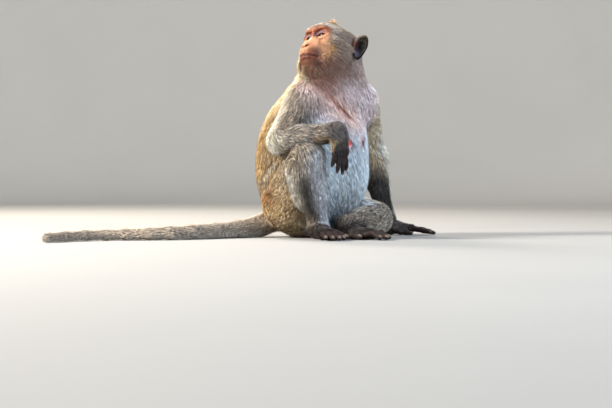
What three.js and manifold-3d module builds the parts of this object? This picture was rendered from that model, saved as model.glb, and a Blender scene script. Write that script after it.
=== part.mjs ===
// A female long-tailed macaque (Macaca fascicularis), life size, seated, with one forearm resting on a raised
// knee, the other arm propping the body, and the tail laid along the ground in an S.
// Millimetres. +X is to the right of the model's front view, -Y is towards that view and +Z is up. The origin is
// on the ground under the middle of the rump. Every solid reaches out to the tips of the coat.

import * as THREE from "three";
import { mergeVertices } from "three/addons/utils/BufferGeometryUtils.js";
import Module from "manifold-3d";

const wasm = await Module();
wasm.setup();

// ---------------------------------------------------------------- driving dimensions
const GAP = 0.3; // between two solids that meet
const FUR = { trunk: 8, limb: 7, forearm: 6, crown: 7.5, nape: 6.5, brow: 2.5, cheek: 4, palm: 2.5, foot: 3 };

const HEAD_ORIGIN = [39.3, 3, 287.8]; // midway between the ear openings
const HEAD_TURN = { yaw: -47, pitch: 15, roll: 10.2 }; // yaw 0 faces -Y, positive towards +X
const HEAD_SIZE = 1.02; // of an average adult female
const EYE = { forward: 36.5, side: 12.3, up: 19.5, radius: 9 };
const SLIT = { ahead: 10, radii: [7, 7, 3.4] }; // where the lids part: forward of the eye's middle, and half sizes

const JOINT = {
  right: {
    hip: [-28, -26, 55], knee: [-3, -107, 130], ankle: [12, -74, 25], toe: [44, -176, 8],
    shoulder: [-10, -42, 210], elbow: [-46, -79, 151], wrist: [40, -131, 165],
  },
  left: {
    hip: [12, 34, 50], knee: [110, 14, 29], ankle: [56, -62, 22], toe: [122, -134, 9],
    shoulder: [80, 34, 212], elbow: [101, 84, 138], wrist: [128, 94, 24],
  },
};
const THIGH = { right: [43, 22], left: [43, 20] }; // radius at hip and knee
const CALF = { right: 24, left: 20 };
const CALF_BACK = { right: [-11, 0, 0], left: [0, 8, -2] };
const ARM_RADIUS = { shoulder: 25, elbow: 17, forearm: 15, wrist: 10.5 };
const HAND = {
  right: { origin: [43, -132, 162], along: [0.06, 0.07, -1], back: [0.38, -0.92, 0.08], size: 0.75, spread: 1 },
  left: { origin: [132, 93, 12], along: [1, -0.18, -0.04], back: [0.04, 0.05, 1], size: 0.92, spread: 2.5 },
};
const FINGER_CURL = {
  right: [[4, 16, 12], [0, 10, 14], [2, 12, 12], [8, 14, 14]],
  left: [[4, 8, 4], [4, 8, 4], [4, 8, 4], [4, 8, 4]],
};
const TAIL_ROUTE = [
  [-46, 14, 32], [-80, 0, 18], [-112, -24, 12], [-146, -56, 10.5], [-182, -90, 10], [-214, -112, 9.5],
  [-246, -122, 9], [-280, -128, 8.5], [-310, -136, 8.2], [-338, -154, 8], [-364, -182, 7.5], [-386, -216, 7],
];
const TAIL_RADIUS = { root: 20.5, tip: 9 };
const TRUNK_CUTS = [66, 118, 186, 238]; // heights where one length of the trunk meets the next

// ---------------------------------------------------------------- small vector helpers
const add = (a, b) => a.map((value, i) => value + b[i]);
const sub = (a, b) => a.map((value, i) => value - b[i]);
const times = (a, factor) => a.map((value) => value * factor);
const dot = (a, b) => a[0] * b[0] + a[1] * b[1] + a[2] * b[2];
const size = (a) => Math.hypot(a[0], a[1], a[2]);
const unit = (a) => times(a, 1 / size(a));
const mix = (a, b, share) => add(a, times(sub(b, a), share));
const cross = (a, b) => [a[1] * b[2] - a[2] * b[1], a[2] * b[0] - a[0] * b[2], a[0] * b[1] - a[1] * b[0]];
const radians = THREE.MathUtils.degToRad;
const clamp = THREE.MathUtils.clamp;

// A local frame: forward, left and up directions around an origin, with a size.
class Place {
  constructor(origin, rows, scale = 1) {
    this.origin = origin;
    this.rows = rows;
    this.scale = scale;
  }

  direction(point) {
    const [forward, left, up] = this.rows;
    return add(add(times(forward, point[0]), times(left, point[1])), times(up, point[2]));
  }

  at(point) {
    return add(this.origin, times(this.direction(point), this.scale));
  }

  bone(a, b, radiusA, radiusB, blend, fur = 0, share = 1) {
    const flat = share < 1 ? { normal: this.rows[2], share } : null;
    const s = this.scale;
    return bone(this.at(a), this.at(b), radiusA * s + fur, radiusB * s + fur, blend * s, flat);
  }

  egg(centre, radii, blend, fur = 0) {
    return egg(this.at(centre), times(radii, this.scale).map((r) => r + fur), blend * this.scale, this.rows);
  }
}

function turn(yaw, pitch = 0, roll = 0) {
  const [a, b, c] = [radians(yaw), radians(pitch), radians(roll)];
  const forward = [Math.sin(a) * Math.cos(b), -Math.cos(a) * Math.cos(b), Math.sin(b)];
  const level = [Math.cos(a), Math.sin(a), 0];
  const left = add(times(level, Math.cos(c)), times(cross(forward, level), Math.sin(c)));
  return [forward, left, cross(forward, left)];
}

function frame(origin, along, out, scale) {
  const x = unit(along);
  const z = unit(sub(out, times(x, dot(out, x))));
  return new Place(origin, [x, cross(z, x), z], scale);
}

// ---------------------------------------------------------------- flesh as distance fields
// Each part is {distance(point), blend}: the distance is negative inside, and blend is the width of its join.
function bone(a, b, radiusA, radiusB, blend, flat = null) {
  const along = sub(b, a);
  const lengthSquared = dot(along, along);
  const distance = (point) => {
    let q = sub(point, a);
    const share = clamp(dot(q, along) / lengthSquared, 0, 1);
    q = sub(q, times(along, share));
    if (flat) {
      q = add(q, times(flat.normal, dot(q, flat.normal) * (1 / flat.share - 1)));
    }
    const gap = size(q) - (radiusA + (radiusB - radiusA) * share);
    return flat ? gap * (0.5 + 0.5 * flat.share) : gap;
  };
  return { distance, blend };
}

function egg(centre, radii, blend, rows = [[1, 0, 0], [0, 1, 0], [0, 0, 1]]) {
  const distance = (point) => {
    const q = sub(point, centre);
    const u = rows.map((row, i) => dot(q, row) / radii[i]);
    const steep = size(u.map((value, i) => value / radii[i]));
    const reach = size(u);
    return (reach * (reach - 1)) / Math.max(steep, 1e-6);
  };
  return { distance, blend };
}

function softMin(a, b, width) {
  const overlap = Math.max(width - Math.abs(a - b), 0) / width;
  return Math.min(a, b) - overlap * overlap * width * 0.25;
}

function flesh(parts) {
  return (point) => {
    let nearest = 1e3;
    for (const part of parts) {
      nearest = softMin(nearest, part.distance(point), part.blend);
    }
    return nearest;
  };
}

// ---------------------------------------------------------------- solids
// rings: closed loops of points, each counterclockwise about the direction of travel
function loft(rings) {
  const sides = rings[0].length;
  const positions = rings.flat().flat();
  const middle = (ring) => times(ring.reduce(add), 1 / sides);
  const last = rings.length - 1;
  const startHub = rings.length * sides;
  positions.push(...middle(rings[0]), ...middle(rings[last]));
  const index = [];
  for (let i = 0; i < sides; i += 1) {
    const next = (i + 1) % sides;
    for (let ring = 0; ring < last; ring += 1) {
      const near = ring * sides;
      const far = near + sides;
      index.push(near + i, near + next, far + next, near + i, far + next, far + i);
    }
    index.push(startHub, next, i, startHub + 1, last * sides + i, last * sides + next);
  }
  const geometry = new THREE.BufferGeometry();
  geometry.setAttribute("position", new THREE.Float32BufferAttribute(positions, 3));
  geometry.setIndex(index);
  return solid(geometry);
}

function solid(geometry) {
  const plain = geometry.clone();
  plain.deleteAttribute("normal");
  plain.deleteAttribute("uv");
  const merged = mergeVertices(plain, 1e-4);
  const vertProperties = new Float32Array(merged.getAttribute("position").array);
  const triVerts = new Uint32Array(merged.getIndex().array);
  return new wasm.Manifold(new wasm.Mesh({ numProp: 3, vertProperties, triVerts }));
}

const joined = (solids) => solids.reduce((whole, piece) => whole.add(piece));

// How far the flesh reaches from an inner point in one direction.
function reachOf(field, from, direction, grow) {
  let reach = 0;
  let depth = field(from) - grow;
  while (depth < -0.15) {
    reach += Math.max(0.1, -depth * 0.8);
    depth = field(add(from, times(direction, reach))) - grow;
  }
  return Math.max(reach - depth, 0.15);
}

// A skin around a field: at each station, rays run from the centre out to the surface, square to the line of
// travel or sloped ahead of it.
function wrap(field, stations, sides, grow = 0) {
  return loft(stations.map(({ centre, across, up, ahead = [0, 0, 0], slope = 0 }) => (
    Array.from({ length: sides }, (_, i) => {
      const angle = (i / sides) * 2 * Math.PI;
      const outward = add(times(across, Math.cos(angle)), times(up, Math.sin(angle)));
      const direction = add(times(outward, Math.cos(slope)), times(ahead, Math.sin(slope)));
      return add(centre, times(direction, reachOf(field, centre, direction, grow)));
    }))));
}

// Stations along a straight axis, closer together towards both round ends.
function alongAxis(a, b, before, after, count) {
  const axis = unit(sub(b, a));
  const across = unit(cross(Math.abs(axis[2]) > 0.9 ? [0, 1, 0] : [0, 0, 1], axis));
  const up = cross(axis, across);
  const whole = size(sub(b, a)) + before + after;
  return Array.from({ length: count }, (_, i) => {
    const share = 0.5 - 0.5 * Math.cos(Math.PI * (0.06 + (0.88 * i) / (count - 1)));
    return { centre: add(a, times(axis, whole * share - before)), across, up };
  });
}

// A tube through a few points, with a radius at each, round at its far end.
function digit(points, radii, sides, grow = 0) {
  const end = points.length - 1;
  const tip = mix(points[end - 1], points[end], 1 + (radii[end] * 0.8) / size(sub(points[end], points[end - 1])));
  const path = [...points, tip];
  const thickness = [...radii, radii[end] * 0.45].map((radius) => radius + grow);
  return loft(path.map((point, i) => {
    const tangent = unit(sub(path[Math.min(i + 1, path.length - 1)], path[Math.max(i - 1, 0)]));
    const across = unit(cross(Math.abs(tangent[2]) > 0.8 ? [0, 1, 0] : [0, 0, 1], tangent));
    const up = cross(tangent, across);
    return Array.from({ length: sides }, (_, k) => {
      const angle = (k / sides) * 2 * Math.PI;
      const radius = thickness[i];
      return add(point, add(times(across, radius * Math.cos(angle)), times(up, radius * Math.sin(angle))));
    });
  }));
}

// Everything on the side of a plane that its normal points to, starting half a gap away from it.
function beyond(point, normal, gap = GAP) {
  const side = 2000;
  const box = new THREE.BoxGeometry(side, side, side);
  const middle = add(point, times(normal, side / 2 + gap / 2));
  const facing = new THREE.Quaternion().setFromUnitVectors(new THREE.Vector3(0, 0, 1), new THREE.Vector3(...normal));
  box.applyQuaternion(facing);
  box.translate(...middle);
  return solid(box);
}

const split = (whole, point, normal) => [
  whole.intersect(beyond(point, times(normal, -1))),
  whole.intersect(beyond(point, normal)),
];

const aboveGround = (piece) => piece.intersect(beyond([0, 0, 0], [0, 0, 1], 0));

// A cut can leave crumbs beside the piece that is wanted.
const largest = (piece) => piece.decompose().sort((a, b) => b.volume() - a.volume())[0];

// ---------------------------------------------------------------- trunk
// centre, half widths (across, front to back, height) and the way the section faces
const TRUNK_SECTIONS = [
  { at: [-2, 8, 47], wide: 60, deep: 56, tall: 46, yaw: 52 },
  { at: [4, 4, 88], wide: 78, deep: 84, tall: 56, yaw: 48 },
  { at: [6, 2, 130], wide: 74, deep: 84, tall: 56, yaw: 42 },
  { at: [12, 2, 170], wide: 64, deep: 74, tall: 50, yaw: 38 },
  { at: [9, 17, 202], wide: 50, deep: 50, tall: 40, yaw: 38 },
];
const BACK = { at: [-34, 14, 140], deep: 38, wide: 36, tall: 62, yaw: 40 };
const SHOULDERS = { from: [3, -24, 212], to: [67, 24, 215], radii: [37, 36] };
const NECK = { from: [33, 2, 218], to: [41, 6, 262], radii: [40, 35] };
const TRUNK_HEIGHT = { low: -5, high: 272, stations: 19, sides: 19 };

function trunkParts() {
  const section = ({ at, wide, deep, tall, yaw }) =>
    egg(at, [deep, wide, tall].map((r) => r + FUR.trunk), 30, turn(yaw));
  const run = ({ from, to, radii }, blend) =>
    bone(from, to, radii[0] + FUR.trunk, radii[1] + FUR.trunk, blend);
  return [...TRUNK_SECTIONS.map(section), section(BACK), run(SHOULDERS, 24), run(NECK, 26)];
}

function trunk(grow = 0) {
  const { low, high, stations, sides } = TRUNK_HEIGHT;
  const levels = Array.from({ length: stations }, (_, i) => {
    const z = low + ((high - low) * i) / (stations - 1);
    const lean = clamp(z / 262, 0, 1);
    return { centre: [-2 + 40 * lean ** 2, 7 - 2 * lean, z], across: [1, 0, 0], up: [0, 1, 0] };
  });
  return wrap(flesh(trunkParts()), levels, sides, grow);
}

// ---------------------------------------------------------------- head
const headPlace = new Place(HEAD_ORIGIN, turn(HEAD_TURN.yaw, HEAD_TURN.pitch, HEAD_TURN.roll), HEAD_SIZE);
const SIDES = { right: -1, left: 1 };

function headParts() {
  const h = headPlace;
  const parts = [
    h.egg([4, 0, 14], [43, 31.5, 28], 6, FUR.crown),
    h.egg([24, 0, 16.5], [22, 27, 27], 12, FUR.brow + 0.5),
    h.egg([34, 0, 27], [13.5, 20, 12.5], 7, FUR.brow + 1),
  ];
  for (const s of Object.values(SIDES)) {
    parts.push(
      h.bone([43.5, 0, 29.5], [42.5, 14 * s, 29.8], 5.2, 5, 6, FUR.brow),
      h.bone([42.5, 14 * s, 29.8], [37.5, 24 * s, 23.5], 5, 4, 6, FUR.brow),
      h.bone([37.5, 24 * s, 23.5], [37, 24 * s, 9], 4, 4.8, 6, FUR.brow - 0.5),
      h.bone([46, 8 * s, 8], [39.5, 19 * s, 8], 4, 5.5, 7, 0.4),
      h.egg([35, 23 * s, 5], [13, 9, 9], 8, 0.8),
      h.bone([32, 27 * s, 6], [6, 33 * s, 0], 6.5, 6, 8, FUR.cheek),
      h.bone([10, 25 * s, -14], [50, 9 * s, -26], 12, 8.5, 10, 3),
      h.egg([22, 22 * s, -12], [20, 12, 18], 12, FUR.cheek + 3),
    );
  }
  parts.push(
    h.bone([36, 0, -6], [50, 0, -9], 19.5, 16, 9, 0.4, 0.92),
    h.egg([53.7, 0, -11], [13, 15, 11], 6, 0.4),
    h.bone([44, 0, 23], [49.5, 0, 9], 3.6, 4.4, 6, 0.3),
    h.bone([49.5, 0, 9], [61, 0, -1.5], 4.4, 4.4, 6, 0.2),
    h.egg([57.5, 0, -27.3], [9.5, 11.5, 8.2], 6, 3),
    h.bone([30, 0, -24], [0, 0, -34], 19, 24, 14, 6),
    h.bone([44, 0, -34], [24, 0, -58], 13, 20, 14, FUR.trunk - 1),
    h.bone([-14, 0, 4], [-22, 0, -34], 24, 26, 14, FUR.nape),
  );
  for (const s of Object.values(SIDES)) {
    parts.push(
      h.bone([66.2, 0, -16.4], [52, 14.2 * s, -19.8], 2.6, 2.5, 3),
      h.bone([65.2, 0, -21.6], [52, 13.8 * s, -22.6], 2.6, 2.4, 3),
      h.egg([EYE.forward - 1, EYE.side * s, EYE.up], [9.6, 11.5, 10.5], 4),
    );
  }
  return parts;
}

const eyeCentre = (s) => headPlace.at([EYE.forward, EYE.side * s, EYE.up]);

function eyeball(s, grow = 0) {
  const ball = new THREE.SphereGeometry(EYE.radius * HEAD_SIZE + grow, 11, 7);
  ball.translate(...eyeCentre(s));
  return solid(ball);
}

// The slit between the lids, from the eyeball outwards.
function slit(s) {
  const opening = new THREE.SphereGeometry(1, 6, 4);
  const { ahead, radii } = SLIT;
  const axes = headPlace.rows.map((row, i) => new THREE.Vector3(...times(row, radii[i] * HEAD_SIZE)));
  opening.applyMatrix4(new THREE.Matrix4().makeBasis(...axes));
  opening.translate(...headPlace.at([EYE.forward + ahead, (EYE.side + 1) * s, EYE.up]));
  return solid(opening);
}

const CREST = { from: [11, 0, 42], to: [8, 2, 64], base: 9, tip: 1.5 }; // the pointed tuft on the crown

const HEAD_CORE = { back: [2, 0, 8], muzzle: [45, 0, -7] }; // where the rays to the skin start

function head(grow = 0) {
  const h = headPlace;
  const slopes = [-78, -62, -46, -30, -14, 0, 0, 0, 0, 0, 6, 16, 27, 38, 49, 60, 71, 82];
  const stations = slopes.map((slope, i) => {
    const centre = h.at(mix(HEAD_CORE.back, HEAD_CORE.muzzle, clamp((i - 4) / 6, 0, 1)));
    return { centre, across: h.rows[1], up: h.rows[2], ahead: h.rows[0], slope: radians(slope) };
  });
  const crest = digit([h.at(CREST.from), h.at(CREST.to)], [CREST.base, CREST.tip], 6, grow);
  return wrap(flesh(headParts()), stations, 18, grow).add(crest);
}

// The ear is a dish: u runs out from its root, v up, w the way it faces.
const EAR = { root: [-4, 33, 6.5], middle: 14, halfWidth: 11.6, halfHeight: 18.8, bowl: 5, edge: 1.7 };
const EAR_SQUARENESS = 2.5; // 2 is an ellipse, more is nearer to a rectangle

function ear(s) {
  const h = headPlace;
  const out = unit(h.direction([-0.42, 0.9 * s, 0.06]));
  const lean = h.direction([-0.1, 0.1 * s, 1]);
  const up = unit(sub(lean, times(out, dot(lean, out))));
  const facing = s > 0 ? cross(out, up) : cross(up, out);
  const root = h.at([EAR.root[0], EAR.root[1] * s, EAR.root[2]]);
  const sides = 14;
  const ring = (r, face) => Array.from({ length: sides }, (_, i) => {
    const angle = (s * i * 2 * Math.PI) / sides;
    const [a, b] = [Math.cos(angle), Math.sin(angle)].map((c) => Math.sign(c) * Math.abs(c) ** (2 / EAR_SQUARENESS));
    const v = EAR.halfHeight * r * b;
    const half = EAR.halfWidth + 0.28 * Math.min(v, 0);
    const u = EAR.middle + 0.18 * v + half * r * a;
    const w = EAR.bowl * r * r - 4 + face * EAR.edge;
    return add(root, times(add(add(times(out, u), times(up, v)), times(facing, w)), HEAD_SIZE));
  });
  return loft([
    ring(0.1, -1), ring(0.7, -1), ring(1.06, -0.6), ring(1.06, 0.9), ring(0.86, 1), ring(0.5, 0.8), ring(0.1, 0.8),
  ]);
}

// ---------------------------------------------------------------- limbs
function limb(parts, a, b, before, after, count, sides, grow) {
  return wrap(flesh(parts), alongAxis(a, b, before, after, count), sides, grow);
}

function thigh(side, grow) {
  const { hip, knee } = JOINT[side];
  const [wide, narrow] = THIGH[side].map((radius) => radius + FUR.limb);
  const end = mix(knee, hip, 0.08);
  return limb([bone(hip, end, wide, narrow, 20)], hip, end, wide, narrow, 9, 12, grow);
}

function shank(side, grow) {
  const { knee, ankle } = JOINT[side];
  const big = CALF[side] + FUR.limb;
  const top = add(mix(knee, ankle, 0.24), CALF_BACK[side]);
  const low = add(mix(knee, ankle, 0.58), times(CALF_BACK[side], 0.9));
  const parts = [
    bone(knee, ankle, 19 + FUR.forearm, 12 + FUR.forearm, 10),
    bone(top, low, big, big - 3.5, 14),
  ];
  return limb(parts, knee, ankle, 19 + FUR.forearm, 12 + FUR.forearm, 9, 12, grow);
}

// Toes and fingers: x runs along them, and the great toe and thumb lie towards y times inner.
const TOES = [[58, 10, 34, 0.1], [60, 3.6, 38, 0.03], [58, -3.4, 36, -0.04], [53, -10, 31, -0.12]];
const FINGERS = [[42, 11.5, 34], [44, 4, 38], [42, -3.6, 36], [37, -11, 29]];
const PHALANGES = [0.46, 0.31, 0.23];

function foot(side, grow) {
  const { ankle, toe } = JOINT[side];
  const inner = -SIDES[side];
  const f = frame([ankle[0], ankle[1], 12], [toe[0] - ankle[0], toe[1] - ankle[1], 0], [0, 0, 1], 0.95);
  const sole = flesh([
    f.bone([0, 0, 8], [0, 0, -1], 11, 10, 6, 4),
    f.bone([-16, 0, -3], [10, 0, -1], 10, 11, 8, FUR.foot),
    f.bone([6, 0, 1], [52, 0, -4], 11, 9.5, 10, FUR.foot, 0.75),
    f.bone([40, 9, -4], [56, 9, -5], 7, 6.5, 6, 2),
    f.bone([38, -9, -4], [52, -10, -5], 7, 6.5, 6, 2),
    f.bone([20, 9 * inner, -3], [36, 20 * inner, -5], 8, 6, 6, 2),
  ]);
  const heel = f.at([-16, 0, -2]);
  const pieces = [wrap(sole, alongAxis(heel, f.at([54, 0, -3]), 12, 8, 7), 10, grow)];
  const greatToe = [[34, 19 * inner, -5], [52, 26 * inner, -6], [61, 28 * inner, -7.5]];
  pieces.push(digit(greatToe.map((point) => f.at(point)), [6.2, 4.9, 4], 5, grow));
  for (const [x, y, length, splay] of TOES) {
    const reach = (share, z) => f.at([x + length * share, inner * (y + length * share * splay), z]);
    const points = [f.at([x - 12, y * inner * 0.8, -3.5]), reach(0.1, -4), reach(0.55, -2), reach(1, -7.6)];
    pieces.push(digit(points, [6, 5.2, 4.6, 3.6], 5, grow));
  }
  return joined(pieces);
}

function hand(side, grow) {
  const { origin, along, back, size: scale, spread } = HAND[side];
  const f = frame(origin, along, back, scale);
  const thumb = -SIDES[side];
  const fur = FUR.palm;
  const palm = flesh([
    f.bone([-8, 0, 0], [14, 0, 0], 10.5, 12, 6, fur + 1, 0.72),
    f.bone([10, 5 * thumb, 0], [40, 8 * thumb, 0], 9.5, 8, 8, fur, 0.72),
    f.bone([10, -4 * thumb, 0], [36, -8 * thumb, 0], 9.5, 8, 8, fur, 0.72),
    f.bone([8, 7 * thumb, -3], [22, 16 * thumb, -6], 7, 5.5, 6, fur * 0.6),
  ]);
  const pieces = [wrap(palm, alongAxis(f.at([-8, 0, 0]), f.at([38, 0, 0]), 9, 7, 6), 10, grow)];
  const thumbPath = [[18, 13 * thumb, -5], [34, 20 * thumb, -8], [42, 21 * thumb, -9]];
  pieces.push(digit(thumbPath.map((point) => f.at(point)), [5, 4, 3.3], 5, grow));
  FINGERS.forEach(([x, y, length], i) => {
    const points = [[x - 12, y * thumb * 0.85, 0], [x, y * thumb, 0]];
    const slant = y * thumb * 0.012 * spread;
    let bend = 0;
    PHALANGES.forEach((share, k) => {
      bend += radians(FINGER_CURL[side][i][k]);
      const step = times([Math.cos(bend), Math.cos(bend) * slant, -Math.sin(bend)], length * share);
      points.push(add(points.at(-1), step));
    });
    const radii = [6, 5.9, 5, 4.4, 3.4].map((radius) => radius * scale);
    pieces.push(digit(points.map((point) => f.at(point)), radii, 5, grow));
  });
  return joined(pieces);
}

function arm(side, grow) {
  const { shoulder, elbow, wrist } = JOINT[side];
  const f = FUR.forearm;
  const r = ARM_RADIUS;
  const upper = [bone(shoulder, elbow, r.shoulder + FUR.limb, r.elbow + FUR.limb, 16)];
  const fore = [
    bone(elbow, wrist, r.forearm + f, r.wrist + f, 8),
    bone(mix(elbow, wrist, 0.15), mix(elbow, wrist, 0.45), r.forearm + 1.5 + f, r.forearm - 1 + f, 10),
  ];
  return joined([
    limb(upper, shoulder, elbow, r.shoulder + FUR.limb, r.elbow + FUR.limb, 7, 10, grow),
    limb(fore, elbow, wrist, r.forearm + f, r.wrist + f, 8, 10, grow),
    hand(side, grow),
  ]);
}

const leg = (side, grow) => joined([thigh(side, grow), shank(side, grow), foot(side, grow)]);

function tail(grow = 0) {
  const route = new THREE.CatmullRomCurve3(TAIL_ROUTE.map((point) => new THREE.Vector3(...point)));
  const steps = 24;
  const points = route.getSpacedPoints(steps).map((point) => point.toArray());
  const radii = points.map((_, i) => TAIL_RADIUS.tip + (TAIL_RADIUS.root - TAIL_RADIUS.tip) * (1 - i / steps) ** 1.8);
  return { whole: digit(points, radii, 7, grow), points };
}

// ---------------------------------------------------------------- colours and assembly
const COAT = { gold: 0x9c8258, back: 0x94795a, grey: 0x8c8272, dark: 0x5d564e, pale: 0xc3c6c4, chest: 0xa89c98 };
const SKIN = { face: 0xc08a70, ear: 0x4b3a40, hand: 0x3a322e };

const monkey = new THREE.Group();

function place(name, piece, color, roughness = 0.9) {
  const { numProp, vertProperties, triVerts } = largest(aboveGround(piece)).getMesh();
  const geometry = new THREE.BufferGeometry();
  const positions = new Float32Array((vertProperties.length / numProp) * 3);
  for (let i = 0; i < positions.length / 3; i += 1) {
    positions.set(vertProperties.subarray(i * numProp, i * numProp + 3), i * 3);
  }
  geometry.setAttribute("position", new THREE.BufferAttribute(positions, 3));
  geometry.setIndex([...triVerts]);
  geometry.computeVertexNormals();
  const mesh = new THREE.Mesh(geometry, new THREE.MeshStandardMaterial({ color, roughness, metalness: 0 }));
  mesh.name = name;
  monkey.add(mesh);
}

const outline = { trunk: trunk(GAP), head: head(GAP), rightLeg: leg("right", GAP), leftLeg: leg("left", GAP) };

// Trunk: four lengths and the neck, whose top is hollowed for the head.
const trunkNames = ["pelvis", "belly", "chest", "shoulders", "neck"];
const trunkColours = [COAT.gold, COAT.back, COAT.back, COAT.gold, COAT.chest];
let rest = trunk().subtract(outline.head);
trunkNames.forEach((name, i) => {
  let piece = rest;
  if (i < TRUNK_CUTS.length) {
    [piece, rest] = split(rest, [0, 0, TRUNK_CUTS[i]], [0, 0, 1]);
  }
  place(name, piece, trunkColours[i]);
});

const sockets = joined([1, -1].flatMap((s) => [eyeball(s, GAP), slit(s)]));
place("head", head().subtract(sockets), COAT.gold);
for (const [side, s] of Object.entries(SIDES)) {
  place(`ear_${side}`, ear(s).subtract(outline.head).subtract(outline.trunk), SKIN.ear, 0.6);
  place(`eye_${side}`, eyeball(s), 0x2a1c14, 0.15);
}

// Legs and arms: each is cut free of what it leans on, then parted at its joints.
const cutNormal = (a, b, c) => unit(add(unit(sub(b, a)), unit(sub(c, b))));
const leansOn = {
  rightLeg: [outline.trunk],
  leftLeg: [outline.trunk, outline.rightLeg],
  rightArm: [outline.trunk, outline.rightLeg],
  leftArm: [outline.trunk, outline.leftLeg],
};
for (const side of Object.keys(SIDES)) {
  const { hip, knee, ankle, toe, shoulder, elbow, wrist } = JOINT[side];
  const freeLeg = leansOn[`${side}Leg`].reduce((piece, other) => piece.subtract(other), leg(side, 0));
  const [thighPiece, lowerLeg] = split(freeLeg, knee, cutNormal(hip, knee, ankle));
  const [shankPiece, footPiece] = split(lowerLeg, ankle, cutNormal(knee, ankle, toe));
  place(`thigh_${side}`, thighPiece, COAT.gold);
  place(`shank_${side}`, shankPiece, COAT.grey);
  place(`foot_${side}`, footPiece, SKIN.hand, 0.7);

  const freeArm = leansOn[`${side}Arm`].reduce((piece, other) => piece.subtract(other), arm(side, 0));
  const [upperArm, lowerArm] = split(freeArm, elbow, cutNormal(shoulder, elbow, wrist));
  const wristCut = unit(add(unit(sub(wrist, elbow)), unit(HAND[side].along)));
  const [forearm, handPiece] = split(lowerArm, HAND[side].origin, wristCut);
  place(`upper_arm_${side}`, upperArm, COAT.grey);
  place(`forearm_${side}`, forearm, COAT.dark);
  place(`hand_${side}`, handPiece, SKIN.hand, 0.7);
}

// Tail: four lengths, the first cut free of the rump.
const { whole, points: tailPoints } = tail();
let tailRest = whole.subtract(outline.trunk).subtract(outline.rightLeg);
const TAIL_LENGTHS = 4;
for (let i = 1; i <= TAIL_LENGTHS; i += 1) {
  let piece = tailRest;
  if (i < TAIL_LENGTHS) {
    const k = Math.round((i * (tailPoints.length - 1)) / TAIL_LENGTHS);
    [piece, tailRest] = split(tailRest, tailPoints[k], unit(sub(tailPoints[k + 1], tailPoints[k - 1])));
  }
  place(`tail_${i}`, piece, COAT.pale);
}

export default monkey;
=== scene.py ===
"""A seated long-tailed macaque (Macaca fascicularis), an adult female, life size.

One skin is drawn round a body of blended bones and eggs, inside the CAD solids by the depth of the coat.
The coat is solid tufts that lie along the skin and reach out to the CAD solids' outline.
The body is described in millimetres, in the frame of the CAD model, and meshes are made in metres.
"""

import math

import bpy
import numpy as np
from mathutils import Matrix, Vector
from mathutils.kdtree import KDTree


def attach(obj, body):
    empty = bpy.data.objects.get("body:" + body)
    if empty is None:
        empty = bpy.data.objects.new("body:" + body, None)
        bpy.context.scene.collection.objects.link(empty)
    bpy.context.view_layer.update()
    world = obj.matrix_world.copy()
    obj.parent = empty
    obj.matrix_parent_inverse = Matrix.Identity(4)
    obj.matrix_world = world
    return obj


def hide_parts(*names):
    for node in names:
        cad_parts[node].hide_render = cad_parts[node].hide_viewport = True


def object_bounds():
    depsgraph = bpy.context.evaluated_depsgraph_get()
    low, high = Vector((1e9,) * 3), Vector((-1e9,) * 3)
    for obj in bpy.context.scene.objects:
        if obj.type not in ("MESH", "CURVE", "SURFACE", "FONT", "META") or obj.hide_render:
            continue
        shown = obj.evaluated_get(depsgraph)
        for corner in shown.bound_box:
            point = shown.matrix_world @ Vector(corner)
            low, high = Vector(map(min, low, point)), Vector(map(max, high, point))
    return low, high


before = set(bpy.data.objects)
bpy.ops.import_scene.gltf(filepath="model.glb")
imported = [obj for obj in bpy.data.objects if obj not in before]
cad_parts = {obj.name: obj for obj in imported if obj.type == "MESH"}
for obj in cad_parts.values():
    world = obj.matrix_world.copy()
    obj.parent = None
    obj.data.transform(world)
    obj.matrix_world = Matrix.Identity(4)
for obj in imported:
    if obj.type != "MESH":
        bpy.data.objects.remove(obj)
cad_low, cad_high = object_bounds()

MM = 0.001
F32 = np.float32
FAR = 1e3
RANDOM = np.random.default_rng(7)

# ---------------------------------------------------------------- the body's measures, in millimetres
HEAD_ORIGIN = (39.3, 3, 287.8)  # midway between the ear openings
HEAD_TURN = (-47, 15, 10.2)  # yaw, pitch, roll; yaw 0 faces -Y, positive towards +X
HEAD_SIZE = 1.02
EYE = (36.5, 12.3, 19.5)
EYE_RADIUS = 9.0

JOINT = {
    "right": dict(hip=(-28, -26, 55), knee=(-3, -107, 130), ankle=(12, -74, 25), toe=(44, -176, 8),
                  shoulder=(-10, -42, 210), elbow=(-46, -79, 151), wrist=(40, -131, 165)),
    "left": dict(hip=(12, 34, 50), knee=(110, 14, 29), ankle=(56, -62, 22), toe=(122, -134, 9),
                 shoulder=(80, 34, 212), elbow=(101, 84, 138), wrist=(128, 94, 24)),
}
TAIL_ROUTE = [
    (-46, 14, 32), (-80, 0, 18), (-112, -24, 12), (-146, -56, 10.5), (-182, -90, 10), (-214, -112, 9.5),
    (-246, -122, 9), (-280, -128, 8.5), (-310, -136, 8.2), (-338, -154, 8), (-364, -182, 7.5),
    (-386, -216, 7),
]
CHEST_YAW = 46  # degrees; the way that the chest faces
TRUNK_AXIS = (6, 2)  # the middle of the trunk, seen from above

BODY_STEP = 1.8  # grid of the body's skin
HEAD_STEP = 0.8  # grid of the head's skin
NECK_CUT = 262.0  # height where the two grids are joined


def joints(side, *names):
    return [np.array(JOINT[side][name], float) for name in names]


# ---------------------------------------------------------------- small vector helpers
def unit(v):
    v = np.asarray(v, float)
    return v / np.linalg.norm(v)


def lengths(p):
    return np.sqrt(np.einsum("ij,ij->i", p, p))


def unit_rows(p):
    return p / np.maximum(lengths(p), 1e-9)[:, None]


def step_up(low, high, x):
    """0 below low, 1 above high, smooth between; low may be the greater."""
    t = np.clip((x - low) / (high - low), 0, 1)
    return t * t * (3 - 2 * t)


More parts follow.
